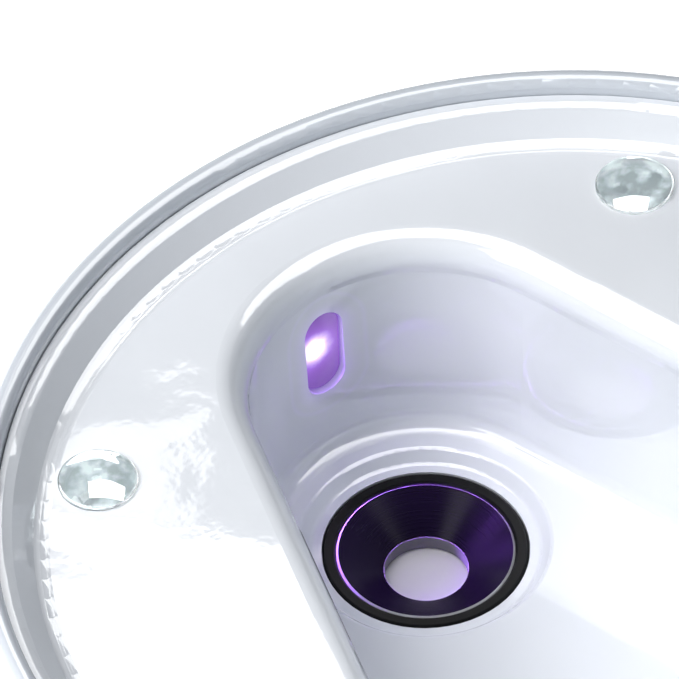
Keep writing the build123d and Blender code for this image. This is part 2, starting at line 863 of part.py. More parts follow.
with BuildPart() as light_seal:
    with BuildSketch(window_plane(light_pad_face)):
        SlotOverall(flange_height, flange_width, rotation=90)
        SlotOverall(window_height, window_width, rotation=90, mode=Mode.SUBTRACT)
    extrude(amount=window_seal_thickness)

finish(light_seal.part, "light_seal")

with BuildPart() as light_holder:
    with BuildSketch(window_plane(light_pad_face)):
        RectangleRounded(holder_width, holder_height, 3)
    extrude(amount=holder_depth)
    with BuildSketch(window_plane(light_pad_face)):
        RectangleRounded(holder_width, light_pad_height, 3)
    extrude(amount=3)
    # room for the lens's flange, then a smaller shaft that holds it and lets the light through
    with BuildSketch(window_plane(light_pad_face)):
        SlotOverall(flange_height + 2 * seam_gap, flange_width + 2 * seam_gap, rotation=90)
    extrude(amount=lens_back - light_pad_face, mode=Mode.SUBTRACT)
    with BuildSketch(window_plane(light_pad_face)):
        RectangleRounded(window_width, window_height, 2)
    extrude(amount=holder_depth - holder_wall, mode=Mode.SUBTRACT)
    with BuildSketch(window_plane(light_pad_face)):
        with GridLocations(0, light_screw_spacing, 1, 2):
            Circle(light_screw_radius + seam_gap)
    extrude(amount=3, mode=Mode.SUBTRACT)

finish(light_holder.part, "light_holder")

with BuildPart() as light_board:
    with BuildSketch(window_plane(holder_back - holder_wall)):
        RectangleRounded(window_width - 2 * seam_gap, window_height - 2 * seam_gap, 1)
    extrude(amount=-led_board_thickness)

finish(light_board.part, "light_board")

with BuildPart() as light_emitters:
    with BuildSketch(window_plane(holder_back - holder_wall - led_board_thickness)):
        with GridLocations(0, led_pitch, 1, led_count):
            Rectangle(led_size, led_size)
    extrude(amount=-led_height)

finish(light_emitters.part, "light_emitters")

with BuildPart() as light_screws:
    for side in (-1, 1):
        spot = window_plane(light_pad_face + 3)
        place = Plane(
            origin=spot.origin + Vector(0, 0, side * light_screw_spacing / 2),
            x_dir=(0, 0, 1),
            z_dir=window_out * -1,
        )
        with Locations(place):
            add(screw(2.6, 1.8, light_screw_radius - thin_gap, 3 + light_pad_depth - 0.5, 1.4))

finish(light_screws.part, "light_screws")

# ---------------------------------------------------------------- heater under the floor

heater_x = 150.0
heater_y = 100.0
heater_middle = (0, -75)
heater_thickness = 0.6
heater_z = floor_z - wall
thermostat_spot = (66, -45)
thermostat_radius = 8.0
thermostat_height = 6.0

with BuildPart() as heater_mat:
    with BuildSketch(Plane.XY.offset(heater_z)):
        with Locations(heater_middle):
            RectangleRounded(heater_x, heater_y, 6)
    extrude(amount=-heater_thickness)

finish(heater_mat.part, "heater_mat")

with BuildPart() as thermostat:
    with BuildSketch(Plane.XY.offset(heater_z - heater_thickness)):
        with Locations(thermostat_spot):
            Circle(thermostat_radius)
    extrude(amount=-thermostat_height)

finish(thermostat.part, "thermostat")

# ---------------------------------------------------------------- driver board on the base plate

connector_size = (12.0, 7.0, 8.0)
connector_y = board_middle[1] + board_y / 2 - 5
connector_xs = (-38.0, 0.0, 38.0)
panel_connector = (20.0, board_middle[1] - board_y / 2 + 5)

with BuildPart() as driver_board:
    with BuildSketch(Plane.XY.offset(board_z)):
        with Locations(board_middle):
            RectangleRounded(board_x, board_y, 3)
            with GridLocations(post_x, post_y, 2, 2):
                Circle(fine_clear, mode=Mode.SUBTRACT)
    extrude(amount=board_thickness)

finish(driver_board.part, "driver_board")

with BuildPart() as board_screws:
    for x in (-post_x / 2, post_x / 2):
        for y in (-post_y / 2, post_y / 2):
            place = Plane(
                origin=(board_middle[0] + x, board_middle[1] + y, board_top),
                x_dir=(1, 0, 0),
                z_dir=(0, 0, -1),
            )
            with Locations(place):
                add(screw(2.6, 1.8, fine_pilot - 0.1, board_thickness + 5.5, 1.4))

finish(board_screws.part, "board_screws")

with BuildPart() as transformer:
    with BuildSketch(Plane.XY.offset(board_top)):
        with Locations((-30, -62)):
            RectangleRounded(24, 30, 1)
    extrude(amount=18)
    with BuildSketch(Plane.XY.offset(board_top)):
        with Locations((-30, -62)):
            Rectangle(32, 20)
    extrude(amount=14)

finish(transformer.part, "transformer")

with BuildPart() as capacitors:
    with BuildSketch(Plane.XY.offset(board_top)):
        with Locations((-4, -52), (-4, -70)):
            Circle(5)
    extrude(amount=20)
    chamfer(capacitors.edges().group_by(Axis.Z)[-1], 0.6)

finish(capacitors.part, "capacitors")

with BuildPart() as connectors:
    with BuildSketch(Plane.XY.offset(board_top)):
        with Locations(*[(x, connector_y) for x in connector_xs], panel_connector):
            Rectangle(connector_size[0], connector_size[1])
    extrude(amount=connector_size[2])

finish(connectors.part, "connectors")

fin_count = 6
fin_pitch = 6.0
with BuildPart() as heat_sink:
    with BuildSketch(Plane.XY.offset(board_top)):
        with Locations((28, -62)):
            Rectangle(34, 26)
    extrude(amount=3)
    with BuildSketch(Plane.XY.offset(board_top)):
        with Locations((28, -62)):
            with GridLocations(fin_pitch, 0, fin_count, 1):
                Rectangle(1.6, 26)
    extrude(amount=20)

finish(heat_sink.part, "heat_sink")

# ---------------------------------------------------------------- control panel

button_radius = 9.0
button_proud = 2.2
button_travel = 1.6
button_collar = 11.0
collar_thickness = 1.2
collar_pocket = 3.5
board_front = panel_back - wall - board_post_length
control_board_x = 68.0
control_board_y = 36.0
switch_size = 10.0
switch_depth = 7.0
pot_radius = 8.5
pot_depth = 7.0
running_gap = 0.05
knob_radius = 11.0
knob_height = 10.0

with BuildPart() as control_panel:
    with BuildSketch(panel_plane(panel_back)):
        RectangleRounded(panel_width - 2 * seam_gap, panel_height - 2 * seam_gap, panel_corner - seam_gap)
        with Locations((button_x, 0)):
            Circle(button_radius + slide_gap, mode=Mode.SUBTRACT)
        with Locations((knob_x, 0)):
            Circle(knob_shaft_radius + slide_gap, mode=Mode.SUBTRACT)
        with GridLocations(pipe_pitch, 0, pipe_count, 1):
            Circle(pipe_radius + thin_gap, mode=Mode.SUBTRACT)
    extrude(amount=panel_thickness)
    chamfer(control_panel.edges().filter_by(
        lambda edge: abs(edge.center().Y + panel_front) < 0.01).sort_by(SortBy.LENGTH)[-8:], 0.6)
    with BuildSketch(panel_plane(panel_back)):
        with Locations((button_x, 0)):
            Circle(button_collar + slide_gap)
    extrude(amount=collar_pocket, mode=Mode.SUBTRACT)
    with BuildSketch(panel_plane(panel_back)):
        with GridLocations(panel_screw_x, panel_screw_y, 2, 2):
            Circle(fine_pilot)
    extrude(amount=panel_thickness - 1.2, mode=Mode.SUBTRACT)

finish(control_panel.part, "control_panel")

with BuildPart() as panel_screws:
    for x in (-panel_screw_x / 2, panel_screw_x / 2):
        for z in (-panel_screw_y / 2, panel_screw_y / 2):
            place = Plane(origin=(x, wall - panel_back, panel_z + z), x_dir=(1, 0, 0), z_dir=(0, -1, 0))
            with Locations(place):
                add(screw(2.6, 1.8, fine_pilot - 0.1, wall + 3.4, 1.4))

finish(panel_screws.part, "panel_screws")

stem_end = board_front + switch_depth - 2.0
collar_front = panel_back + collar_pocket - thin_gap
with BuildPart() as power_button:
    with BuildSketch(panel_plane(collar_front - collar_thickness)):
        with Locations((button_x, 0)):
            Circle(button_collar)
    extrude(amount=collar_thickness)
    with BuildSketch(panel_plane(collar_front - collar_thickness)):
        with Locations((button_x, 0)):
            Circle(button_radius)
    extrude(amount=panel_front + button_proud - collar_front + collar_thickness)
    fillet(power_button.edges().group_by(Axis.Y)[0], 1.2)
    with BuildSketch(panel_plane(stem_end)):
        with Locations((button_x, 0)):
            Circle(button_stem_radius)
    extrude(amount=collar_front - collar_thickness - stem_end)

finish(power_button.part, "power_button")

with BuildPart() as push_switch:
    with BuildSketch(panel_plane(board_front)):
        with Locations((button_x, 0)):
            RectangleRounded(switch_size, switch_size, 0.8)
    extrude(amount=switch_depth)
    with BuildSketch(panel_plane(board_front + switch_depth)):
        with Locations((button_x, 0)):
            Circle(button_stem_radius + slide_gap)
    extrude(amount=-(switch_depth - 1.2), mode=Mode.SUBTRACT)

finish(push_switch.part, "push_switch")

knob_gap = 0.5
with BuildPart() as control_knob:
    with BuildSketch(panel_plane(panel_front + knob_gap)):
        with Locations((knob_x, 0)):
            Circle(knob_radius)
    extrude(amount=knob_height)
    fillet(control_knob.edges().group_by(Axis.Y)[0], 1.5)
    with BuildSketch(panel_plane(panel_front + knob_gap + 1.5)):
        with Locations((knob_x, 0)):
            with PolarLocations(knob_radius + 0.3, 20):
                Circle(0.7)
    extrude(amount=knob_height, mode=Mode.SUBTRACT)
    with BuildSketch(panel_plane(panel_front + knob_gap + knob_height)):
        with Locations((knob_x, 0)):
            with PolarLocations(knob_radius * 0.62, 1, start_angle=225):
                SlotOverall(5.5, 1.4)
    extrude(amount=-0.8, mode=Mode.SUBTRACT)
    with BuildSketch(panel_plane(panel_front + knob_gap)):
        with Locations((knob_x, 0)):
            Circle(knob_shaft_radius + running_gap)
    extrude(amount=knob_height - 3, mode=Mode.SUBTRACT)

finish(control_knob.part, "control_knob")

with BuildPart() as knob_shaft:
    with BuildSketch(panel_plane(board_front + 1.5)):
        with Locations((knob_x, 0)):
            Circle(knob_shaft_radius)
    extrude(amount=panel_front + knob_gap + knob_height - 3 - board_front - 1.5)

finish(knob_shaft.part, "knob_shaft")

with BuildPart() as turn_sensor:
    with BuildSketch(panel_plane(board_front)):
        with Locations((knob_x, 0)):
            Circle(pot_radius)
    extrude(amount=pot_depth)
    with BuildSketch(panel_plane(board_front + pot_depth)):
        with Locations((knob_x, 0)):
            Circle(knob_shaft_radius + running_gap)
    extrude(amount=-(pot_depth - 1.2), mode=Mode.SUBTRACT)

finish(turn_sensor.part, "turn_sensor")

with BuildPart() as level_pipes:
    with BuildSketch(panel_plane(board_front)):
        with GridLocations(pipe_pitch, 0, pipe_count, 1):
            Circle(pipe_radius)
    extrude(amount=panel_front - board_front + 0.4)

finish(level_pipes.part, "level_pipes")

with BuildPart() as control_board:
    with BuildSketch(panel_plane(board_front)):
        RectangleRounded(control_board_x, control_board_y, 2)
        with GridLocations(board_screw_x, board_screw_y, 2, 2):
            Circle(fine_clear, mode=Mode.SUBTRACT)
    extrude(amount=-board_thickness)

finish(control_board.part, "control_board")

with BuildPart() as control_screws:
    for x in (-board_screw_x / 2, board_screw_x / 2):
        for z in (-board_screw_y / 2, board_screw_y / 2):
            place = Plane(
                origin=(x, board_thickness - board_front, panel_z + z),
                x_dir=(1, 0, 0),
                z_dir=(0, -1, 0),
            )
            with Locations(place):
                add(screw(2.6, 1.8, fine_pilot - 0.1, board_thickness + 7, 1.4))

finish(control_screws.part, "control_screws")

# ---------------------------------------------------------------- power inlet

inlet_body_width = 15.0
inlet_body_height = 12.0
inlet_body_depth = 12.0
plug_radius = 2.9
plug_depth = 9.5
pin_radius = 1.0
nut_radius = 8.0
nut_height = 2.5

with BuildPart() as inlet_jack:
    with BuildSketch(inlet_plane(inlet_face - wall)):
        RectangleRounded(inlet_body_width, inlet_body_height, 1)
    extrude(amount=-inlet_body_depth)
    with BuildSketch(inlet_plane(inlet_face - wall)):
        Circle(bushing_radius)
    extrude(amount=wall + nut_height + 1.2)
    with BuildSketch(inlet_plane(inlet_face + nut_height + 1.2)):
        Circle(plug_radius)
        Circle(pin_radius, mode=Mode.SUBTRACT)
    extrude(amount=-plug_depth, mode=Mode.SUBTRACT)

finish(inlet_jack.part, "inlet_jack")

with BuildPart() as inlet_nut:
    with BuildSketch(inlet_plane(inlet_face)):
        RegularPolygon(nut_radius, 6)
        Circle(bushing_radius + thin_gap, mode=Mode.SUBTRACT)
    extrude(amount=nut_height)

finish(inlet_nut.part, "inlet_nut")

# ---------------------------------------------------------------- leads inside the casing

lead_radius = 1.4
lead_z = board_top + connector_size[2] / 2
connector_front = connector_y + connector_size[1] / 2
light_exit = Vector(well_shift, end_distance, window_z - holder_height / 2) + window_out * (holder_back - 8)
panel_lead_z = panel_z - control_board_y / 2 + 8
jack_back = inlet_face - wall - inlet_body_depth
thermostat_under = heater_z - heater_thickness - thermostat_height
head_lead_start = end_distance - tube_outer - cap_wall - thin_gap
panel_lead_start = board_thickness - board_front
panel_lead_end = panel_connector[1] - connector_size[1] / 2
heater_lead_end = connector_xs[2] + connector_size[0] / 2


def lead(name, points):
    """A round lead along straight runs joined by arcs as large as the runs allow."""
    spots = [Vector(*point) for point in points]
    radii = []
    for before, here, after in zip(spots, spots[1:], spots[2:]):
        turn = (here - before).get_angle(after - here)
        run = min((here - before).length, (after - here).length)
        radii.append(0.45 * run / tan(radians(turn / 2)))
    with BuildPart() as tube:
        with BuildLine() as route:
            FilletPolyline(*spots, radius=radii)
        with BuildSketch(Plane(origin=spots[0], z_dir=spots[1] - spots[0])):
            Circle(lead_radius)
        sweep(path=route.wires()[0])
    print(name, [round(radius, 1) for radius in radii])
    finish(tube.part, name)


lead(
    "head_lead",
    [
        (well_shift, head_lead_start, cap_lead_z),
        (well_shift, head_lead_start - 20, cap_lead_z),
        (7, 28, lead_z - 1),
        (0, 2, lead_z),
        (0, connector_front, lead_z),
    ],
)
lead(
    "light_lead",
    [
        (light_exit.X, light_exit.Y, light_exit.Z),
        (light_exit.X, light_exit.Y, light_exit.Z - 21),
        (30, 166, 32),
        (66, 138, 26),
        (88, 90, 25),
        (76, 38, 24),
        (connector_xs[2], 2, lead_z),
        (connector_xs[2], connector_front, lead_z),
    ],
)
lead(
    "inlet_lead",
    [
        (0, jack_back, inlet_z),
        (0, jack_back - 15, inlet_z),
        (-26, 146, 28),
        (-60, 118, 26),
        (-84, 74, 25),
        (-74, 30, 25),
        (connector_xs[0], 2, lead_z),
        (connector_xs[0], connector_front, lead_z),
    ],
)
lead(
    "heater_lead",
    [
        (thermostat_spot[0], thermostat_spot[1], thermostat_under),
        (thermostat_spot[0], thermostat_spot[1], thermostat_under - 12.4),
        (heater_lead_end + 16, connector_y, lead_z),
        (heater_lead_end, connector_y, lead_z),
    ],
)
lead(
    "panel_lead",
    [
        (panel_connector[0], panel_lead_start, panel_lead_z),
        (panel_connector[0], panel_lead_start + 12.4, panel_lead_z),
        (panel_connector[0], -162, 68),
        (panel_connector[0], -160, 44),
        (panel_connector[0], -146, 28),
        (panel_connector[0], panel_lead_end - 27.5, lead_z),
        (panel_connector[0], panel_lead_end, lead_z),
    ],
)
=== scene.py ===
# %% [markdown]
# # A round foot spa basin
# The basin is a glossy white tub that drops into a round casing. A wedge-shaped well for two feet
# is sunk into its ledge. The narrow end of the well has a lit window in its wall and a black
# ultrasonic head in its floor.
# The solid shapes arrive ready made, in metres, with +Z up. This lesson gives them their finish,
# adds the fine pieces, and lights them. First it loads the shapes and keeps their overall size.

from math import cos, pi, radians, sin, sqrt

import bpy
from mathutils import Matrix, Vector


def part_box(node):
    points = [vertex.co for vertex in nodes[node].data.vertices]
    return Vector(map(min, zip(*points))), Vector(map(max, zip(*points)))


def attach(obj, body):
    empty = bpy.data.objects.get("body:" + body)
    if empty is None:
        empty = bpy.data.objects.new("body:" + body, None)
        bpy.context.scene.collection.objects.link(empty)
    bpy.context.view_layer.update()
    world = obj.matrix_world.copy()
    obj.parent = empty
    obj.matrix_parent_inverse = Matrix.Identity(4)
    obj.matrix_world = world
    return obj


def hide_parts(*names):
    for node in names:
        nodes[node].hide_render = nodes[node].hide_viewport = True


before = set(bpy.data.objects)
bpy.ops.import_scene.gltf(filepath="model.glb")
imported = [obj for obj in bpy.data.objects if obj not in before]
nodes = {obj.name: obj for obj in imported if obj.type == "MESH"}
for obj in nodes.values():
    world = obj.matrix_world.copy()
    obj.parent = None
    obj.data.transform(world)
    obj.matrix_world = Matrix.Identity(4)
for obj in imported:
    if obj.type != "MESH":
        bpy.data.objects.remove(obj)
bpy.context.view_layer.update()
print("pieces loaded:", len(nodes))

# %% [markdown]
# Sizes are read from the shapes themselves, so that a look never drifts away from its piece. The
# ledge is the flat ring round the well, the head is the black cone in the well's floor, and the
# window is the lens in the well's wall.

# %% Measure the places that the finishes need
MM = 0.001


def middle(node):
    """Middle of a piece's box."""
    low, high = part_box(node)
    return (low + high) / 2


def size(node):
    """Extent of a piece's box along X, Y and Z."""
    low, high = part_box(node)
    return high - low


ledge_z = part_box("dome_pads")[0].z
rim_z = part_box("outer_casing")[1].z
head_middle = middle("head_cone")
window_middle = middle("light_lens")
print("ledge height in mm:", round(ledge_z / MM, 1))
print("rim height in mm:", round(rim_z / MM, 1))

# %% [markdown]
# A product picture of a whole basin is usually taken from far away with a long lens, because that
# keeps round rims from looking egg-shaped. This camera stands almost four metres off. It looks
# down by 48 degrees onto the narrow end of the well, and it is rolled by two degrees.

# %% Set the camera
scene = bpy.context.scene
camera_turn = radians(-36.45)  # about +Z, from straight in front of the control panel
camera_rise = radians(48.22)
camera_roll = radians(-2.02)
camera_distance = 3.7485
aim = Vector((-0.0114, 0.1297, ledge_z))
lens_mm = 534.5

ledge_middle = Vector((0, 0, ledge_z))
back = Vector(
    (
        sin(camera_turn) * cos(camera_rise),
        -cos(camera_turn) * cos(camera_rise),
        sin(camera_rise),
    )
)
camera_place = ledge_middle + camera_distance * back
forward = (aim - camera_place).normalized()
level_right = forward.cross(Vector((0, 0, 1))).normalized()
level_up = level_right.cross(forward)
camera_right = level_right * cos(camera_roll) + level_up * sin(camera_roll)
camera_up = level_up * cos(camera_roll) - level_right * sin(camera_roll)

camera_data = bpy.data.cameras.new("long_lens")
camera_data.lens = lens_mm
camera_data.sensor_width = 36
camera_data.clip_start = 0.1
camera_data.clip_end = 100
camera = bpy.data.objects.new("camera", camera_data)
scene.collection.objects.link(camera)
turn = Matrix((camera_right, camera_up, -forward)).transposed().to_4x4()
camera.matrix_world = Matrix.Translation(camera_place) @ turn
scene.camera = camera
print("camera stands at:", [round(value, 3) for value in camera_place])

# %% [markdown]
# Glossy white plastic shows its shape by what it mirrors, so the lamps that are mirrored and the
# lamps that only brighten are set apart. A soft box hung close above the far side gives the ledge
# its white patches, and a small one behind it adds a spark. Three boxes high at the left light the
# whole basin, and a narrow beam reaches down into the well. The room itself is a dim gradient,
# darkest a third of the way up.

# %% Light the room
scene.view_settings.view_transform = "Standard"
scene.view_settings.look = "None"
toward_far = Vector((-back.x, -back.y, 0)).normalized()
toward_right = Vector((toward_far.y, -toward_far.x, 0))


def link(tree, start, end):
    """Joins two sockets of a node tree."""
    tree.links.new(start, end)


room = bpy.data.worlds.new("studio")
scene.world = room
room.use_nodes = True
sky = room.node_tree
sky.nodes.clear()
direction = sky.nodes.new("ShaderNodeTexCoord")
height = sky.nodes.new("ShaderNodeSeparateXYZ")
ramp = sky.nodes.new("ShaderNodeValToRGB")
glow = sky.nodes.new("ShaderNodeBackground")
shine = sky.nodes.new("ShaderNodeOutputWorld")
link(sky, direction.outputs["Generated"], height.inputs[0])
link(sky, height.outputs["Z"], ramp.inputs[0])
link(sky, ramp.outputs[0], glow.inputs["Color"])
link(sky, glow.outputs[0], shine.inputs["Surface"])
horizon, lower_sky, zenith = (0.80, 0.85, 0.92), (0.40, 0.49, 0.60), (1.0, 1.0, 1.0)
ramp.color_ramp.elements.new(0.35)
for stop, tone in zip(ramp.color_ramp.elements, (horizon, lower_sky, zenith)):
    stop.color = (*tone, 1)
glow.inputs["Strength"].default_value = 0.22


def soft_box(name, where, extent, radiance, target=None):
    """A rectangular area light, placed to the right, to the far side and above the middle.

    It shines at the target, or straight down.
    """
    right, far, up = where
    wide, deep = extent
    place = toward_right * right + toward_far * far + Vector((0, 0, up))
    data = bpy.data.lights.new(name, "AREA")
    data.shape = "RECTANGLE"
    data.size = wide
    data.size_y = deep
    data.energy = radiance * pi * wide * deep
    lamp = bpy.data.objects.new(name, data)
    scene.collection.objects.link(lamp)
    away = Vector((0, 0, 1)) if target is None else (place - target).normalized()
    side = toward_right if abs(away.z) > 0.9 else Vector((0, 0, 1)).cross(away).normalized()
    lamp.matrix_world = Matrix.Translation(place) @ Matrix(
        (side, away.cross(side), away)
    ).transposed().to_4x4()
    lamp.visible_camera = False
    return lamp


boxes = {
    # name: (right, far, up), (wide, deep), radiance, seen in mirror images, as soft light, or both
    "box_over": ((-0.01, 0.175, 0.52), (0.62, 0.32), 5.0, "mirror"),
    "box_strip": ((-0.20, 0.375, 0.52), (0.09, 0.07), 2.6, "mirror"),
    "box_high": ((-0.85, -0.30, 1.65), (0.50, 0.50), 5.0, "both"),
    "box_top": ((-1.25, -0.5, 2.0), (2.0, 2.0), 3.05, "soft"),
    "box_left": ((-1.9, -0.95, 1.5), (1.6, 1.5), 4.1, "both"),
}
for name, (where, extent, radiance, seen) in boxes.items():
    target = None if seen == "mirror" else ledge_middle
    lamp = soft_box(name, where, extent, radiance, target)
    lamp.visible_diffuse = seen != "mirror"
    lamp.visible_glossy = seen != "soft"
    lamp.visible_transmission = seen != "soft"

well_box = soft_box("box_well", (0.04, -0.05, 0.95), (0.14, 0.14), 0.7)
well_box.data.spread = radians(22)  # a narrow beam, so that it misses the ledge
well_box.visible_glossy = False
print("soft boxes:", len(boxes) + 1)

# %% [markdown]
# The floor is a plain pale sweep, wide enough to fill every view.

# %% Lay the floor
floor_reach = 30
floor_mesh = bpy.data.meshes.new("floor")
floor_mesh.from_pydata(
    [(x * floor_reach, y * floor_reach, 0) for x, y in ((-1, -1), (1, -1), (1, 1), (-1, 1))],
    [],
    [(0, 1, 2, 3)],
)
floor = bpy.data.objects.new("floor", floor_mesh)
scene.collection.objects.link(floor)
floor_paint = bpy.data.materials.new("floor_paint")
floor_paint.use_nodes = True
floor_shader = floor_paint.node_tree.nodes["Principled BSDF"]
floor_shader.inputs["Base Color"].default_value = (0.93, 0.94, 0.95, 1)
floor_shader.inputs["Roughness"].default_value = 0.6
floor_shader.inputs["Emission Color"].default_value = (1, 1, 1, 1)
floor_shader.inputs["Emission Strength"].default_value = 0.6
floor_mesh.materials.append(floor_paint)
print("floor reaches:", floor_reach, "metres each way")

# %% [markdown]
# Moulded plastic isn't one flat colour. Its gloss wavers a little, the surface has the faint
# orange peel of a polished mould, and the white drifts by a percent or two. A large shiny
# moulding also sinks and swells by tenths of a millimetre, which tears the edge of every mirrored
# lamp. One helper makes all the plastics, so that each has the same kinds of fine detail.

# %% Make the plastic helper


def new_finish(name):
    """An empty material with its node tree and shader."""
    finish = bpy.data.materials.new(name)
    finish.use_nodes = True
    return finish, finish.node_tree, finish.node_tree.nodes["Principled BSDF"]


def node(tree, kind, **settings):
    """A shader node with its properties set."""
    made = tree.nodes.new("ShaderNode" + kind)
    for key, value in settings.items():
        setattr(made, key, value)
    return made


def noise(tree, place, wave_length, detail=2.0, rough=0.5):
    """Noise whose lumps are about one wave length across, in metres."""
    made = node(tree, "TexNoise")
    made.inputs["Scale"].default_value = 1 / wave_length
    made.inputs["Detail"].default_value = detail
    made.inputs["Roughness"].default_value = rough
    link(tree, place, made.inputs["Vector"])
    return made.outputs[0]


def bump(tree, height, rise, before=None):
    """Raises the surface by up to rise metres where the height input is one."""
    made = node(tree, "Bump")
    made.inputs["Distance"].default_value = rise
    link(tree, height, made.inputs["Height"])
    if before is not None:
        link(tree, before, made.inputs["Normal"])
    return made.outputs[0]


def two_tone(tree, factor, light, dark):
    """A colour between dark and light, by a factor from 0 to 1."""
    mix = node(tree, "Mix", data_type="RGBA")
    mix.inputs[6].default_value = (*dark, 1)
    mix.inputs[7].default_value = (*light, 1)
    link(tree, factor, mix.inputs[0])
    return mix.outputs[2]


def spread(tree, value, low, high, start=0.3, end=0.7):
    """Maps a value from start..end onto low..high."""
    made = node(tree, "MapRange")
    made.inputs["From Min"].default_value = start
    made.inputs["From Max"].default_value = end
    made.inputs["To Min"].default_value = low
    made.inputs["To Max"].default_value = high
    link(tree, value, made.inputs["Value"])
    return made.outputs[0]


def sums(tree, operation, first, second=0.0):
    """One step of arithmetic on sockets or plain numbers."""
    made = node(tree, "Math", operation=operation)
    for socket, value in zip(made.inputs, (first, second)):
        if isinstance(value, (int, float)):
            socket.default_value = value
        else:
            link(tree, value, socket)
    return made.outputs[0]


def plastic(name, light, dark, rough, peel=2e-6, peel_size=0.003, sink=0.0):
    """Moulded plastic: two close colours, wavering gloss, orange peel and sink marks."""
    finish, tree, shader = new_finish(name)
    place = node(tree, "TexCoord").outputs["Object"]
    clouds = noise(tree, place, 0.1, 3)
    link(tree, two_tone(tree, clouds, light, dark), shader.inputs["Base Color"])
    link(tree, spread(tree, clouds, rough * 0.8, rough * 1.2), shader.inputs["Roughness"])
    normal = bump(tree, noise(tree, place, peel_size, 2), peel)
    if sink:
        # The marks are full on the flat ledge, and an eighth as deep on the walls and the rim.
        parts = node(tree, "SeparateXYZ")
        link(tree, place, parts.inputs[0])
        up = parts.outputs["Z"]
        rising = spread(tree, up, 0.12, 1.0, ledge_z - 14 * MM, ledge_z - 1 * MM)
        falling = spread(tree, up, 1.0, 0.12, ledge_z + 0.3 * MM, ledge_z + 3 * MM)
        on_ledge = sums(tree, "MULTIPLY", rising, falling)
        for wave, share, detail in ((0.11, 1.0, 2), (0.018, 1 / 18, 3)):
            swell = sums(tree, "MULTIPLY", noise(tree, place, wave, detail, 0.55), on_ledge)
            normal = bump(tree, swell, sink * share, normal)
    link(tree, normal, shader.inputs["Normal"])
    return finish


def dress(finish, *names):
    """Puts one finish on whole pieces."""
    for name in names:
        for slot in nodes[name].material_slots:
            slot.link = "OBJECT"
            slot.material = finish


# %% [markdown]
# The tub and the casing are both glossy ABS. The tub is a neutral white. The casing is a little
# greyer and bluer than the tub.

# %% Finish the tub and the casing
tub_white = plastic("tub_white", (0.80, 0.826, 0.868), (0.787, 0.815, 0.86), 0.055, sink=3 * MM)
casing_white = plastic("casing_white", (0.63, 0.665, 0.715), (0.61, 0.648, 0.70), 0.08, sink=1.5 * MM)
for finish, piece in ((tub_white, "basin_tub"), (casing_white, "outer_casing")):
    gloss = finish.node_tree.nodes["Principled BSDF"].inputs["Specular IOR Level"]
    gloss.default_value = 0.9
    dress(finish, piece)
    print(piece, "wears", finish.name)

# %% [markdown]
# Behind the window sits a strip of violet chips. Their light would leak into the white wall around the
# window, because thin white plastic glows through. That light is painted: the finish of the tub gets a weak
# painted violet glow, with a faint painted ring, that depends only on how far a point of the wall is from
# the window's outline.

# %% Paint the violet glow onto the tub's wall
window_radius = 8.8 * MM  # of the round ends
window_half = 20.75 * MM - window_radius  # of the straight sides
leak_reach = 11 * MM
halo_away, halo_wide = 9 * MM, 1.6 * MM
tree = tub_white.node_tree
shader = tree.nodes["Principled BSDF"]
centred = node(tree, "Mapping")
centred.inputs["Location"].default_value = -window_middle
link(tree, node(tree, "TexCoord").outputs["Object"], centred.inputs["Vector"])
parts = node(tree, "SeparateXYZ")
link(tree, centred.outputs[0], parts.inputs[0])

beyond = sums(tree, "SUBTRACT", sums(tree, "ABSOLUTE", parts.outputs["Z"]), window_half)
past_end = sums(tree, "MAXIMUM", beyond, 0.0)
aside = parts.outputs["X"]
past_squared = sums(tree, "MULTIPLY", past_end, past_end)
reach_squared = sums(tree, "ADD", past_squared, sums(tree, "MULTIPLY", aside, aside))
outside = sums(tree, "SUBTRACT", sums(tree, "POWER", reach_squared, 0.5), window_radius)
fall = sums(tree, "POWER", spread(tree, outside, 1.0, 0.0, 0.0, leak_reach), 2.5)
from_halo = sums(tree, "ABSOLUTE", sums(tree, "SUBTRACT", outside, halo_away))
halo = spread(tree, from_halo, 1.0, 0.0, 0.0, halo_wide)
# Painted light: emission on the tub's wall, a violet glow and a faint ring of light round the window.
painted_violet_glow = sums(tree, "ADD", sums(tree, "MULTIPLY", fall, 0.16), sums(tree, "MULTIPLY", halo, 0.05))
near_wall = sums(tree, "GREATER_THAN", parts.outputs["Y"], -30 * MM)
link(tree, sums(tree, "MULTIPLY", painted_violet_glow, near_wall), shader.inputs["Emission Strength"])
shader.inputs["Emission Color"].default_value = (0.42, 0.2, 1.0, 1)
print("violet reaches", round(leak_reach / MM), "mm past the window")

# %% [markdown]
# The window's lens is clear plastic, frosted on the inside, with one chip shining through it. The
# chip burns out to white, and the rest of the lens is a deep violet that fades downwards. Painting
# that glow on the lens keeps its place from every side. A small lamp in front of the lens then
# throws the violet light into the well.

# %% Light the window
chip_aside, chip_above = 3.5 * MM, 2.5 * MM  # from the middle of the lens
white_within, white_gone = 4.5 * MM, 11 * MM  # distances from the chip
chip_white, lens_violet = (1.0, 0.92, 1.0), (0.40, 0.17, 0.76)
lens_lit, tree, shader = new_finish("lens_lit")
spot = node(tree, "Mapping")
spot.inputs["Location"].default_value = (chip_aside - window_middle.x, 0, -chip_above - window_middle.z)
spot.inputs["Scale"].default_value = (1, 0, 1)
link(tree, node(tree, "TexCoord").outputs["Object"], spot.inputs["Vector"])
spot_reach = node(tree, "VectorMath", operation="LENGTH")
link(tree, spot.outputs[0], spot_reach.inputs[0])
mottle = noise(tree, spot.outputs[0], 0.004, 3)
ragged = sums(tree, "ADD", spot_reach.outputs["Value"], sums(tree, "MULTIPLY", mottle, 3 * MM))
burn = sums(tree, "POWER", spread(tree, ragged, 1.0, 0.0, 2 * MM, 16 * MM), 3.0)
haze = spread(tree, ragged, 0.75, 0.22, 0.0, 22 * MM)
core = spread(tree, ragged, 1.0, 0.0, white_within, white_gone)
link(tree, two_tone(tree, core, chip_white, lens_violet), shader.inputs["Emission Color"])
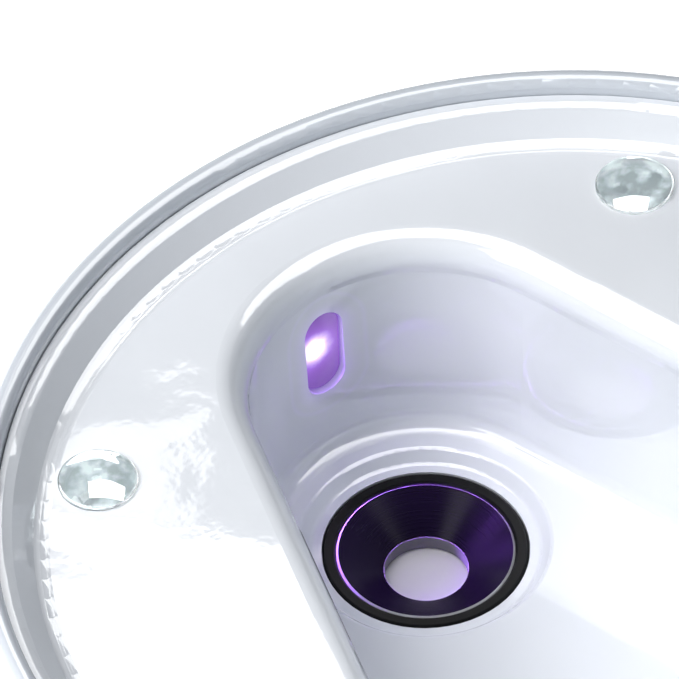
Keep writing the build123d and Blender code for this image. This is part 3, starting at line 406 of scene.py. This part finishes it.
strength = sums(tree, "ADD", sums(tree, "MULTIPLY", burn, 2.6), haze)
link(tree, strength, shader.inputs["Emission Strength"])
link(tree, two_tone(tree, mottle, (0.30, 0.17, 0.5), (0.22, 0.11, 0.4)), shader.inputs["Base Color"])
link(tree, bump(tree, mottle, 3e-6), shader.inputs["Normal"])
shader.inputs["Roughness"].default_value = 0.12
dress(lens_lit, "light_lens")


def window_lamp(name, energy, only=None):
    """A violet lamp in front of the window, for the whole well or for one piece only."""
    data = bpy.data.lights.new(name, "AREA")
    data.shape = "RECTANGLE"
    data.size = 12 * MM
    data.size_y = 34 * MM
    data.energy = energy
    data.color = (0.36, 0.12, 1.0)
    lamp = bpy.data.objects.new(name, data)
    scene.collection.objects.link(lamp)
    lamp.location = Vector((window_middle.x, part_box("light_lens")[0].y - 1.2 * MM, window_middle.z))
    lamp.rotation_euler = (radians(-90), 0, 0)
    lamp.visible_camera = False
    if only is not None:
        lit = bpy.data.collections.new(name + "_lights")
        lit.objects.link(only)
        lamp.light_linking.receiver_collection = lit
    return lamp


window_lamp("window_glow", 0.007).visible_glossy = False
window_lamp("cone_glow", 1.6, nodes["head_cone"])
print("lens is white within", round(white_within / MM, 1), "mm of the chip")

# %% [markdown]
# The ultrasonic head is an aluminium cone, turned on a lathe and anodised black. The tool leaves
# fine rings a third of a millimetre apart, so their height depends only on the distance from the
# cone's axis. Its outer edge and the bore are cut after anodising and show bare metal. The white
# ceramic disc, the black rubber round it and the pale line of silicone at the rim come along here.

# %% Finish the ultrasonic head


def axis_distance(tree, middle_point):
    """Distance of each point from the upright axis through a place."""
    flat = node(tree, "Mapping")
    flat.inputs["Scale"].default_value = (1, 1, 0)
    flat.inputs["Location"].default_value = (-middle_point.x, -middle_point.y, 0)
    link(tree, node(tree, "TexCoord").outputs["Object"], flat.inputs["Vector"])
    length = node(tree, "VectorMath", operation="LENGTH")
    link(tree, flat.outputs[0], length.inputs[0])
    return length.outputs["Value"]


cone_radius = size("head_cone").x / 2
bore_radius = 16.45 * MM
ring_pitch = 0.35 * MM
cone_black, tree, shader = new_finish("cone_black")
radius = axis_distance(tree, head_middle)
lathe = node(tree, "TexNoise", noise_dimensions="1D")
lathe.inputs["Scale"].default_value = 1 / ring_pitch
lathe.inputs["Detail"].default_value = 3
link(tree, radius, lathe.inputs["W"])
edge_mask = sums(tree, "GREATER_THAN", radius, cone_radius - 0.8 * MM)
bore_mask = sums(tree, "MULTIPLY", sums(tree, "LESS_THAN", radius, bore_radius), 0.3)
bare = sums(tree, "MAXIMUM", edge_mask, bore_mask)
anodised = two_tone(tree, lathe.outputs[0], (0.0025, 0.0024, 0.003), (0.0009, 0.0009, 0.001))
tone = node(tree, "Mix", data_type="RGBA")
link(tree, bare, tone.inputs[0])
link(tree, anodised, tone.inputs[6])
tone.inputs[7].default_value = (0.62, 0.62, 0.64, 1)
link(tree, tone.outputs[2], shader.inputs["Base Color"])
link(tree, sums(tree, "MULTIPLY", bare, 0.35), shader.inputs["Metallic"])
link(tree, spread(tree, lathe.outputs[0], 0.15, 0.22), shader.inputs["Roughness"])
link(tree, bump(tree, lathe.outputs[0], 2.2e-5), shader.inputs["Normal"])
shader.inputs["Specular IOR Level"].default_value = 0.06
dress(cone_black, "head_cone")

ceramic_white = plastic("ceramic_white", (0.70, 0.68, 0.72), (0.64, 0.62, 0.66), 0.75, 4e-5, 0.0007)
dress(ceramic_white, "ceramic_disc")
gasket_black = plastic("gasket_black", (0.004, 0.004, 0.0045), (0.002, 0.002, 0.0022), 0.3, 6e-6, 0.0008)
gasket_black.node_tree.nodes["Principled BSDF"].inputs["Specular IOR Level"].default_value = 0.15
dress(gasket_black, "head_gasket", "disc_seal", "light_seal")
silicone_white = plastic("silicone_white", (0.56, 0.585, 0.62), (0.5, 0.525, 0.56), 0.4, 6e-6, 0.0008)
dress(silicone_white, "rim_gasket")
print("cone is", round(2 * cone_radius / MM, 1), "mm across")

# %% [markdown]
# The bumpers are clear domes of cast polyurethane on round pads of clear film. In the real dome the light
# bends in and bounces between the film and the crown, which makes bright and dark flakes. Here those flakes
# are painted light, a pattern of light and dark colour on the film. The film's small wrinkles break them
# up.

# %% Finish the bumpers
dome_clear, tree, shader = new_finish("dome_clear")
place = node(tree, "TexCoord").outputs["Object"]
ripple = noise(tree, place, 0.009, 2)
link(tree, two_tone(tree, ripple, (0.98, 1.0, 0.99), (0.93, 0.97, 0.965)), shader.inputs["Base Color"])
link(tree, bump(tree, ripple, 1.2e-4), shader.inputs["Normal"])
shader.inputs["Roughness"].default_value = 0.01
shader.inputs["IOR"].default_value = 1.49
shader.inputs["Transmission Weight"].default_value = 1.0

film_clear, tree, shader = new_finish("film_clear")
place = node(tree, "TexCoord").outputs["Object"]
wrinkle = node(tree, "TexVoronoi", feature="SMOOTH_F1")
wrinkle.inputs["Scale"].default_value = 1 / 0.006
link(tree, place, wrinkle.inputs["Vector"])
link(tree, bump(tree, wrinkle.outputs["Distance"], 0.0007), shader.inputs["Normal"])
# Bright and dark flakes painted into the film's colour: painted light of the dome's bounced reflections.
painted_flake_light = spread(tree, noise(tree, place, 0.006, 4), 0.0, 1.0, 0.4, 0.6)
link(tree, two_tone(tree, painted_flake_light, (0.70, 0.75, 0.78), (0.30, 0.33, 0.35)), shader.inputs["Base Color"])
shader.inputs["Metallic"].default_value = 0.45
shader.inputs["Roughness"].default_value = 0.07
dress(film_clear, "dome_pads")
print("film finish on:", len(nodes["dome_pads"].material_slots), "slot")

# %% [markdown]
# The rest of the plastics, rubbers, metals and boards. Most of them are inside the casing or
# under it, and each still gets the grain that its process leaves.

# %% Finish the smaller plastic and rubber pieces
small = {
    # finish: light tone, dark tone, roughness, height and size of the grain, pieces
    "base_grey": ((0.52, 0.54, 0.57), (0.46, 0.48, 0.51), 0.55, 3.5e-5, 0.0009, ("base_plate",)),
    "foot_grey": ((0.10, 0.10, 0.105), (0.07, 0.07, 0.075), 0.7, 3e-5, 0.0006, ("rubber_feet",)),
    "panel_dark": ((0.055, 0.06, 0.066), (0.04, 0.044, 0.05), 0.16, 3e-6, 0.002, ("control_panel",)),
    "button_white": ((0.70, 0.72, 0.75), (0.66, 0.68, 0.71), 0.14, 3e-6, 0.002, ("power_button",)),
    "knob_satin": ((0.66, 0.68, 0.70), (0.60, 0.62, 0.64), 0.36, 1.2e-5, 0.0007, ("control_knob",)),
    "inner_black": (
        (0.03, 0.03, 0.03), (0.018, 0.018, 0.018), 0.5, 2e-5, 0.0008,
        ("head_cap", "disc_retainer", "inlet_jack", "push_switch"),
    ),
    "inner_grey": (
        (0.42, 0.43, 0.45), (0.36, 0.37, 0.39), 0.5, 2e-5, 0.0008, ("head_nut", "light_holder"),
    ),
    "nylon_white": ((0.75, 0.75, 0.71), (0.68, 0.68, 0.64), 0.42, 8e-6, 0.001, ("connectors",)),
    "sleeve_dark": ((0.04, 0.05, 0.09), (0.025, 0.03, 0.06), 0.25, 6e-6, 0.002, ("capacitors",)),
    "phenolic_brown": ((0.18, 0.08, 0.04), (0.12, 0.05, 0.025), 0.3, 1e-5, 0.001, ("thermostat",)),
    "tape_yellow": ((0.75, 0.58, 0.08), (0.65, 0.48, 0.05), 0.3, 2e-5, 0.004, ("transformer",)),
    "lead_sheath": (
        (0.62, 0.62, 0.61), (0.54, 0.54, 0.53), 0.45, 1e-5, 0.0012,
        ("head_lead", "light_lead", "inlet_lead", "heater_lead", "panel_lead"),
    ),
}
for name, (light, dark, rough, peel, peel_size, owners) in small.items():
    dress(plastic(name, light, dark, rough, peel, peel_size), *owners)
print("plastic and rubber finishes:", len(small))

# %% [markdown]
# Metals get their look from the last tool that touched them. Plated screws are softly mottled,
# turned shafts carry fine rings, and an extruded heat sink has lines along its length.

# %% Finish the metals


def metal(name, light, dark, rough, grain, rise, stretch=(1, 1, 1)):
    """Bare or plated metal, with a grain that may be stretched along an axis."""
    finish, tree, shader = new_finish(name)
    along = node(tree, "Mapping")
    along.inputs["Scale"].default_value = stretch
    link(tree, node(tree, "TexCoord").outputs["Object"], along.inputs["Vector"])
    marks = noise(tree, along.outputs[0], grain, 3)
    link(tree, two_tone(tree, marks, light, dark), shader.inputs["Base Color"])
    link(tree, spread(tree, marks, rough * 0.7, rough * 1.3), shader.inputs["Roughness"])
    link(tree, bump(tree, marks, rise), shader.inputs["Normal"])
    shader.inputs["Metallic"].default_value = 1.0
    return finish


screw_names = [name for name in nodes if name.endswith("_screws")]
lathe_rings = (0.2, 1, 0.2)  # the grain is drawn out across the shaft's axis
drawn_lines = (1, 0.05, 1)  # and along the heat sink's length
metals = {
    # finish: light tone, dark tone, roughness, size and height of the grain, stretch, pieces
    "screw_zinc": ((0.70, 0.70, 0.69), (0.56, 0.56, 0.55), 0.3, 0.0012, 6e-6, (1, 1, 1), screw_names),
    "washer_steel": ((0.62, 0.62, 0.62), (0.5, 0.5, 0.5), 0.3, 0.002, 6e-6, (1, 1, 1), ["head_washer"]),
    "shaft_turned": ((0.60, 0.60, 0.60), (0.5, 0.5, 0.5), 0.25, 0.0008, 6e-6, lathe_rings, ["knob_shaft"]),
    "sensor_pressed": ((0.52, 0.52, 0.5), (0.42, 0.42, 0.4), 0.35, 0.003, 8e-6, (1, 1, 1), ["turn_sensor"]),
    "sink_extruded": ((0.75, 0.76, 0.77), (0.62, 0.63, 0.64), 0.3, 0.001, 1e-5, drawn_lines, ["heat_sink"]),
    "nickel_bright": ((0.74, 0.71, 0.66), (0.62, 0.59, 0.54), 0.16, 0.003, 3e-6, (1, 1, 1), ["inlet_nut"]),
}
for name, (light, dark, rough, grain, rise, stretch, owners) in metals.items():
    dress(metal(name, light, dark, rough, grain, rise, stretch), *owners)
print("metal finishes:", len(metals))

# %% [markdown]
# A circuit board is green varnish over copper tracks. The tracks show as slightly raised, lighter
# lines, so a pattern of square cells stands in for them.

# %% Finish the boards, the heater and the lit pieces


def board(name, light, dark, cell):
    """Varnish over copper tracks, as a raised pattern of cells."""
    finish, tree, shader = new_finish(name)
    place = node(tree, "TexCoord").outputs["Object"]
    tracks = node(tree, "TexVoronoi", distance="MANHATTAN", feature="DISTANCE_TO_EDGE")
    tracks.inputs["Scale"].default_value = 1 / cell
    tracks.inputs["Randomness"].default_value = 0.6
    link(tree, place, tracks.inputs["Vector"])
    line = spread(tree, tracks.outputs["Distance"], 1.0, 0.0, 0.04, 0.07)
    link(tree, two_tone(tree, line, light, dark), shader.inputs["Base Color"])
    link(tree, bump(tree, line, 3e-5), shader.inputs["Normal"])
    shader.inputs["Roughness"].default_value = 0.28
    return finish


board_green = board("board_green_varnish", (0.07, 0.30, 0.13), (0.035, 0.17, 0.075), 0.004)
dress(board_green, "driver_board", "control_board")
dress(board("board_white_varnish", (0.7, 0.7, 0.66), (0.8, 0.8, 0.77), 0.004), "light_board")
dress(board("heater_foil_amber", (0.80, 0.40, 0.12), (0.62, 0.30, 0.07), 0.006), "heater_mat")

pipe_clear = plastic("pipe_clear", (0.85, 0.9, 0.93), (0.78, 0.83, 0.87), 0.12, 3e-6, 0.002)
pipe_clear.node_tree.nodes["Principled BSDF"].inputs["Transmission Weight"].default_value = 0.6
dress(pipe_clear, "level_pipes")
chip_violet = plastic("chip_violet", (0.8, 0.7, 1.0), (0.7, 0.6, 0.9), 0.2, 3e-6, 0.001)
chip_shader = chip_violet.node_tree.nodes["Principled BSDF"]
chip_shader.inputs["Emission Color"].default_value = (0.6, 0.35, 1.0, 1)
chip_shader.inputs["Emission Strength"].default_value = 2.0
dress(chip_violet, "light_emitters")
undressed = [name for name in nodes if nodes[name].material_slots[0].link != "OBJECT"]
print("pieces still without a finish:", undressed)

# %% [markdown]
# Small things that repeat are made with Geometry Nodes. Each tree is built here, with named inputs
# for its sizes, and its result is turned into one plain mesh. One small class keeps the trees
# short: it adds nodes by name, does sums, and ends each tree in the same way.

# %% Geometry Nodes helpers


class Tree:
    """A Geometry Nodes tree with named number inputs, and the steps to turn it into a mesh."""

    def __init__(self, name, **sizes):
        self.name = name
        self.sizes = sizes
        self.tree = bpy.data.node_groups.new(name, "GeometryNodeTree")
        self.keys = {}
        for key in sizes:
            kind = "NodeSocketInt" if isinstance(sizes[key], int) else "NodeSocketFloat"
            socket = self.tree.interface.new_socket(key, in_out="INPUT", socket_type=kind)
            self.keys[key] = socket.identifier
        self.tree.interface.new_socket("Geometry", in_out="OUTPUT", socket_type="NodeSocketGeometry")
        self.entry = self.tree.nodes.new("NodeGroupInput")

    def size(self, key):
        """The socket of a named size."""
        return self.entry.outputs[key]

    def add(self, kind, settings=None, **inputs):
        """A node with its properties and inputs set, by name."""
        made = self.tree.nodes.new(kind)
        for key, value in (settings or {}).items():
            setattr(made, key, value)
        for key, value in inputs.items():
            self.put(made, key.replace("_", " "), value)
        return made

    def put(self, made, key, value):
        """Sets or links one input of a node."""
        socket = made.inputs[key]
        if isinstance(value, bpy.types.NodeSocket):
            self.tree.links.new(value, socket)
        else:
            socket.default_value = value

    def maths(self, operation, *values):
        """One step of arithmetic."""
        made = self.add("ShaderNodeMath", {"operation": operation})
        for place, value in enumerate(values):
            self.put(made, place, value)
        return made.outputs[0]

    def vector(self, x=0.0, y=0.0, z=0.0):
        """Three numbers as one vector."""
        return self.add("ShaderNodeCombineXYZ", X=x, Y=y, Z=z).outputs[0]

    def piece(self, geometry, finish, name, body, slot):
        """Ends the tree, turns its result into a plain mesh and puts it on a body."""
        real = self.add("GeometryNodeRealizeInstances", Geometry=geometry)
        paint = self.add("GeometryNodeSetMaterial", Geometry=real.outputs[0])
        paint.inputs["Material"].default_value = finish
        end = self.tree.nodes.new("NodeGroupOutput")
        self.tree.links.new(paint.outputs[0], end.inputs[0])
        host = bpy.data.objects.new(name + "_host", bpy.data.meshes.new(name + "_host"))
        scene.collection.objects.link(host)
        maker = host.modifiers.new("maker", "NODES")
        maker.node_group = self.tree
        for key, value in self.sizes.items():
            maker[self.keys[key]] = value
        bpy.context.view_layer.update()
        ready = host.evaluated_get(bpy.context.evaluated_depsgraph_get())
        mesh = bpy.data.meshes.new_from_object(ready)
        mesh.name = name
        bpy.data.objects.remove(host)
        made = bpy.data.objects.new(name, mesh)
        scene.collection.objects.link(made)
        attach(made, body)
        print(name, "faces:", len(mesh.polygons))
        return made


# %% [markdown]
# Each dome follows one rule, a cap of a sphere on a short upright edge, turned round its axis. A
# flat grid is bent into that shape: one side of the grid becomes the angle, the other runs from
# the crown down over the edge and back under to the middle. It rests a hair above the film, so
# that the two never share a face.

# %% Bend a grid into the four domes
dome_low, dome_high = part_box("bumper_domes")
dome_radius = 15.2 * MM
lift = 0.12 * MM
domes = Tree(
    "bumper_tree",
    Radius=dome_radius,
    Height=dome_high.z - dome_low.z - lift,
    Edge=0.8 * MM,
    Distance=(dome_high.x - dome_radius) * sqrt(2),
    Count=4,
)
crown_end = 0.75  # share of the grid that makes the crown
edge_start = 0.76  # past here the height drops to the foot of the edge
base_start = 0.775  # and the rest runs back under the dome to its middle
sheet = domes.add("GeometryNodeMeshGrid", Vertices_X=73, Vertices_Y=41)
sheet.inputs["Size X"].default_value = 1.0
sheet.inputs["Size Y"].default_value = 1.0
position = domes.add("GeometryNodeInputPosition").outputs[0]
where = domes.add("ShaderNodeSeparateXYZ", Vector=position)
turn = domes.maths("MULTIPLY", domes.maths("ADD", where.outputs["X"], 0.5), 2 * pi)
run = domes.maths("ADD", where.outputs["Y"], 0.5)
crown = domes.maths("SUBTRACT", domes.size("Height"), domes.size("Edge"))
radius_squared = domes.maths("MULTIPLY", domes.size("Radius"), domes.size("Radius"))
square = domes.maths("ADD", domes.maths("MULTIPLY", crown, crown), radius_squared)
ball = domes.maths("DIVIDE", square, domes.maths("MULTIPLY", crown, 2))
widest = domes.maths("ARCSINE", domes.maths("DIVIDE", domes.size("Radius"), ball))
crown_run = domes.maths("MINIMUM", domes.maths("DIVIDE", run, crown_end), 1)
lean = domes.maths("MULTIPLY", widest, crown_run)
base_run = domes.maths("DIVIDE", domes.maths("SUBTRACT", run, base_start), 1 - base_start)
under = domes.maths("MAXIMUM", base_run, 0)
past_edge = domes.maths("GREATER_THAN", run, edge_start)
widening = domes.maths("MULTIPLY", ball, domes.maths("SINE", lean))
out = domes.maths("MULTIPLY", widening, domes.maths("SUBTRACT", 1, under))
ball_middle = domes.maths("SUBTRACT", ball, domes.size("Height"))
cap = domes.maths("SUBTRACT", domes.maths("MULTIPLY", ball, domes.maths("COSINE", lean)), ball_middle)
rise = domes.maths("MULTIPLY", cap, domes.maths("SUBTRACT", 1, past_edge))
across = domes.maths("MULTIPLY", domes.maths("COSINE", turn), out)
along = domes.maths("MULTIPLY", domes.maths("SINE", turn), out)
bent = domes.add(
    "GeometryNodeSetPosition",
    Geometry=sheet.outputs[0],
    Position=domes.vector(across, along, rise),
)
welded = domes.add("GeometryNodeMergeByDistance", Geometry=bent.outputs[0], Distance=1e-6)
outward = domes.add("GeometryNodeFlipFaces", Mesh=welded.outputs[0])
smooth = domes.add("GeometryNodeSetShadeSmooth", Geometry=outward.outputs[0])
corners = domes.add(
    "GeometryNodeMeshCircle", Vertices=domes.size("Count"), Radius=domes.size("Distance")
)
turned = domes.add(
    "GeometryNodeTransform",
    Geometry=corners.outputs[0],
    Rotation=(0, 0, radians(45)),
    Translation=(0, 0, dome_low.z + lift),
)
four = domes.add(
    "GeometryNodeInstanceOnPoints", Points=turned.outputs[0], Instance=smooth.outputs[0]
)
cast_domes = domes.piece(four.outputs[0], dome_clear, "cast_domes", "basin", "clear_bumper")
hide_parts("bumper_domes")

# %% [markdown]
# The domes mirror a lamp of their own, nearer to the viewer than the one over the ledge, so that
# the white patch lies low in each dome.

# %% Light the domes
dome_pieces = bpy.data.collections.new("dome_pieces")
left_out = bpy.data.collections.new("left_out_of_box_over")
for piece in (cast_domes, nodes["dome_pads"]):
    dome_pieces.objects.link(piece)
    left_out.objects.link(piece)
for entry in left_out.collection_objects:
    entry.light_linking.link_state = "EXCLUDE"
bpy.data.objects["box_over"].light_linking.receiver_collection = left_out
dome_box = soft_box("box_dome", (-0.04, 0.03, 0.52), (0.50, 0.24), 32.0)
dome_box.visible_diffuse = False
dome_box.light_linking.receiver_collection = dome_pieces
print("domes lit by:", dome_box.name)

# %% [markdown]
# The knob has the usual scale for a dial: raised marks on an arc, longer at every third place.

# %% Dial marks round the knob
knob_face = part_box("control_knob")[0].y
knob_middle = middle("control_knob")
panel_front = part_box("control_panel")[0].y
knob_rest = radians(225)  # the lower left, where the scale and the pointer start
knob_sweep = radians(270)

marks = Tree(
    "dial_marks_tree",
    Ring=12.9 * MM,
    Length=0.6 * MM,
    Half_width=0.3 * MM,
    Rise=0.18 * MM,
    Count=19,
)
places = marks.add("GeometryNodeMeshLine", Count=marks.size("Count"), Offset=(0, 0, 0))
index = marks.add("GeometryNodeInputIndex").outputs[0]
step = marks.maths("DIVIDE", index, marks.maths("SUBTRACT", marks.size("Count"), 1))
turn = marks.maths("MULTIPLY_ADD", step, -knob_sweep, knob_rest)
across = marks.maths("MULTIPLY", marks.maths("COSINE", turn), marks.size("Ring"))
up = marks.maths("MULTIPLY", marks.maths("SINE", turn), marks.size("Ring"))
spots = marks.add(
    "GeometryNodeSetPosition", Geometry=places.outputs[0], Position=marks.vector(across, 0.0, up)
)
grain = marks.add("GeometryNodeMeshUVSphere", Segments=16, Rings=8, Radius=1.0)
every_third = marks.maths("LESS_THAN", marks.maths("MODULO", index, 3), 0.5)
longer = marks.maths("MULTIPLY_ADD", every_third, 0.8, 1.0)
length = marks.maths("MULTIPLY", marks.size("Length"), longer)
on_ring = marks.add(
    "GeometryNodeInstanceOnPoints",
    Points=spots.outputs[0],
    Instance=grain.outputs[0],
    Rotation=marks.vector(0.0, marks.maths("MULTIPLY", turn, -1), 0.0),
    Scale=marks.vector(length, marks.size("Rise"), marks.size("Half_width")),
)
at_knob = marks.add(
    "GeometryNodeTransform",
    Geometry=on_ring.outputs[0],
    Translation=(knob_middle.x, panel_front, knob_middle.z),
)
mark_white = plastic("mark_white", (0.75, 0.77, 0.79), (0.68, 0.7, 0.72), 0.4, 4e-6, 0.001)
marks.piece(at_knob.outputs[0], mark_white, "dial_marks", "basin", "button_plastic")

# %% [markdown]
# The knob has a small inlaid line that points at the marks. It starts at the lower left, where
# the knob rests, and turns with the knob.

# %% Pointer on the knob
pointer = Tree(
    "pointer_tree",
    Reach=7.6 * MM,
    Half_length=2.2 * MM,
    Half_width=0.45 * MM,
    Rise=0.12 * MM,
)
seed = pointer.add("GeometryNodeMeshUVSphere", Segments=24, Rings=12, Radius=1.0)
stretched = pointer.add("GeometryNodeTransform", Geometry=seed.outputs[0])
pointer.put(
    stretched, "Scale",
    pointer.vector(pointer.size("Half_length"), pointer.size("Rise"), pointer.size("Half_width")),
)
moved = pointer.add("GeometryNodeTransform", Geometry=stretched.outputs[0])
pointer.put(moved, "Translation", pointer.vector(pointer.size("Reach"), 0.0, 0.0))
swung = pointer.add(
    "GeometryNodeTransform",
    Geometry=moved.outputs[0],
    Rotation=(0, -knob_rest, 0),
    Translation=(knob_middle.x, knob_face + 0.02 * MM, knob_middle.z),
)
line_dark = plastic("line_dark", (0.10, 0.105, 0.11), (0.08, 0.085, 0.09), 0.4, 4e-6, 0.001)
pointer.piece(swung.outputs[0], line_dark, "knob_pointer", "knob", "panel_plastic")

# %% [markdown]
# The power button carries the plain ring and bar that most appliances use. The ring is a curve
# swept with a small round section, with a gap at the top for the bar, and it moves with the button.

# %% Ring and bar on the button
button_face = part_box("power_button")[0].y
button_middle = middle("power_button")

sign = Tree("power_sign_tree", Ring=3.4 * MM, Line=0.28 * MM, Bar=3.0 * MM)
arc = sign.add("GeometryNodeCurveArc", Resolution=40, Radius=sign.size("Ring"))
gap = radians(70)  # open at the top, where the bar stands
arc.inputs["Start Angle"].default_value = radians(90) + gap / 2
arc.inputs["Sweep Angle"].default_value = radians(360) - gap
section = sign.add("GeometryNodeCurvePrimitiveCircle", Resolution=10, Radius=sign.size("Line"))
bar = sign.add("GeometryNodeCurvePrimitiveLine")
sign.put(bar, "Start", sign.vector(0.0, sign.maths("MULTIPLY", sign.size("Bar"), 0.35)))
sign.put(bar, "End", sign.vector(0.0, sign.maths("MULTIPLY", sign.size("Bar"), 1.35)))
both = sign.add("GeometryNodeJoinGeometry")
sign.tree.links.new(arc.outputs[0], both.inputs[0])
sign.tree.links.new(bar.outputs[0], both.inputs[0])
tube = sign.add("GeometryNodeCurveToMesh", Curve=both.outputs[0])
sign.put(tube, 1, section.outputs[0])
tube.inputs["Fill Caps"].default_value = True
flat = sign.add("GeometryNodeTransform", Geometry=tube.outputs[0], Scale=(1, 1, 0.6))
upright = sign.add(
    "GeometryNodeTransform",
    Geometry=flat.outputs[0],
    Rotation=(radians(90), 0, 0),
    Translation=(button_middle.x, button_face, button_middle.z),
)
sign_grey = plastic("sign_grey", (0.12, 0.125, 0.13), (0.09, 0.095, 0.1), 0.4, 4e-6, 0.001)
sign.piece(upright.outputs[0], sign_grey, "power_sign", "button", "panel_plastic")

# %% [markdown]
# Behind the vent slots of the base plate lies a wire screen that keeps dust out. Two sets of wires
# cross each other. Each set is one wire repeated on a line of points.

# %% Dust screens behind the vents
base_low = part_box("base_plate")[0].z
wire_steel = metal("wire_steel", (0.62, 0.62, 0.62), (0.5, 0.5, 0.5), 0.32, 0.001, 4e-6)


def screen(name, x_middle, y_middle, wide, deep, z_place):
    """A screen of round wires that cross, in a flat rectangle."""
    weave = Tree(name + "_tree", Wide=wide, Deep=deep, Wire=0.16 * MM, Pitch=1.5 * MM)
    sets = weave.add("GeometryNodeJoinGeometry")
    for along, over, rise, crosswise in (("Wide", "Deep", 0.0, False), ("Deep", "Wide", 0.3 * MM, True)):
        wire = weave.add(
            "GeometryNodeMeshCylinder", Vertices=6, Radius=weave.size("Wire"), Depth=weave.size(along)
        )
        laid = weave.add(
            "GeometryNodeTransform",
            Geometry=wire.outputs["Mesh"],
            Rotation=(radians(90), 0, 0) if crosswise else (0, radians(90), 0),
        )
        count = weave.maths("FLOOR", weave.maths("DIVIDE", weave.size(over), weave.size("Pitch")))
        row = weave.add("GeometryNodeMeshLine", Count=count, Offset=(0, 0, 0))
        index = weave.add("GeometryNodeInputIndex").outputs[0]
        away = weave.maths(
            "SUBTRACT",
            weave.maths("MULTIPLY", weave.maths("ADD", index, 0.5), weave.size("Pitch")),
            weave.maths("MULTIPLY", weave.size(over), 0.5),
        )
        spot = weave.vector(away, 0.0, rise) if crosswise else weave.vector(0.0, away, rise)
        points = weave.add("GeometryNodeSetPosition", Geometry=row.outputs[0], Position=spot)
        wires = weave.add(
            "GeometryNodeInstanceOnPoints", Points=points.outputs[0], Instance=laid.outputs[0]
        )
        weave.tree.links.new(wires.outputs[0], sets.inputs[0])
    placed = weave.add(
        "GeometryNodeTransform", Geometry=sets.outputs[0], Translation=(x_middle, y_middle, z_place)
    )
    return weave.piece(placed.outputs[0], wire_steel, name, "basin", "screw_steel")


vent_wide, vent_deep = 62 * MM, 42 * MM
vent_aside, vent_back = 75 * MM, 15 * MM
screen_z = base_low + 3.6 * MM
for name, side in (("vent_screen_left", -1), ("vent_screen_right", 1)):
    screen(name, side * vent_aside, vent_back, vent_wide, vent_deep, screen_z)

# %% [markdown]
# The underside of a large moulding shows the round marks of the ejector pins that pushed it out of
# the mould. They stand in two rings, each a thin disc with a soft edge, raised by a tenth of a
# millimetre.

# %% Ejector marks under the base plate
mark_rise = 0.12 * MM
pins = Tree(
    "ejector_tree",
    Inner=62 * MM,
    Outer=128 * MM,
    Pin=3.5 * MM,
    Rise=mark_rise,
    Inner_count=6,
    Outer_count=12,
)
rings = pins.add("GeometryNodeJoinGeometry")
for reach, count in (("Inner", "Inner_count"), ("Outer", "Outer_count")):
    circle = pins.add("GeometryNodeMeshCircle", Vertices=pins.size(count), Radius=pins.size(reach))
    pins.tree.links.new(circle.outputs[0], rings.inputs[0])
disc = pins.add("GeometryNodeMeshCone", Vertices=32, Side_Segments=2)
pins.put(disc, "Radius Bottom", pins.maths("SUBTRACT", pins.size("Pin"), 0.3 * MM))
pins.put(disc, "Radius Top", pins.size("Pin"))
pins.put(disc, "Depth", pins.size("Rise"))
scattered = pins.add(
    "GeometryNodeInstanceOnPoints", Points=rings.outputs[0], Instance=disc.outputs["Mesh"]
)
below = pins.add(
    "GeometryNodeTransform", Geometry=scattered.outputs[0], Translation=(0, 0, base_low - mark_rise)
)
base_finish = nodes["base_plate"].material_slots[0].material
pins.piece(below.outputs[0], base_finish, "ejector_marks", "basin", "base_plastic")
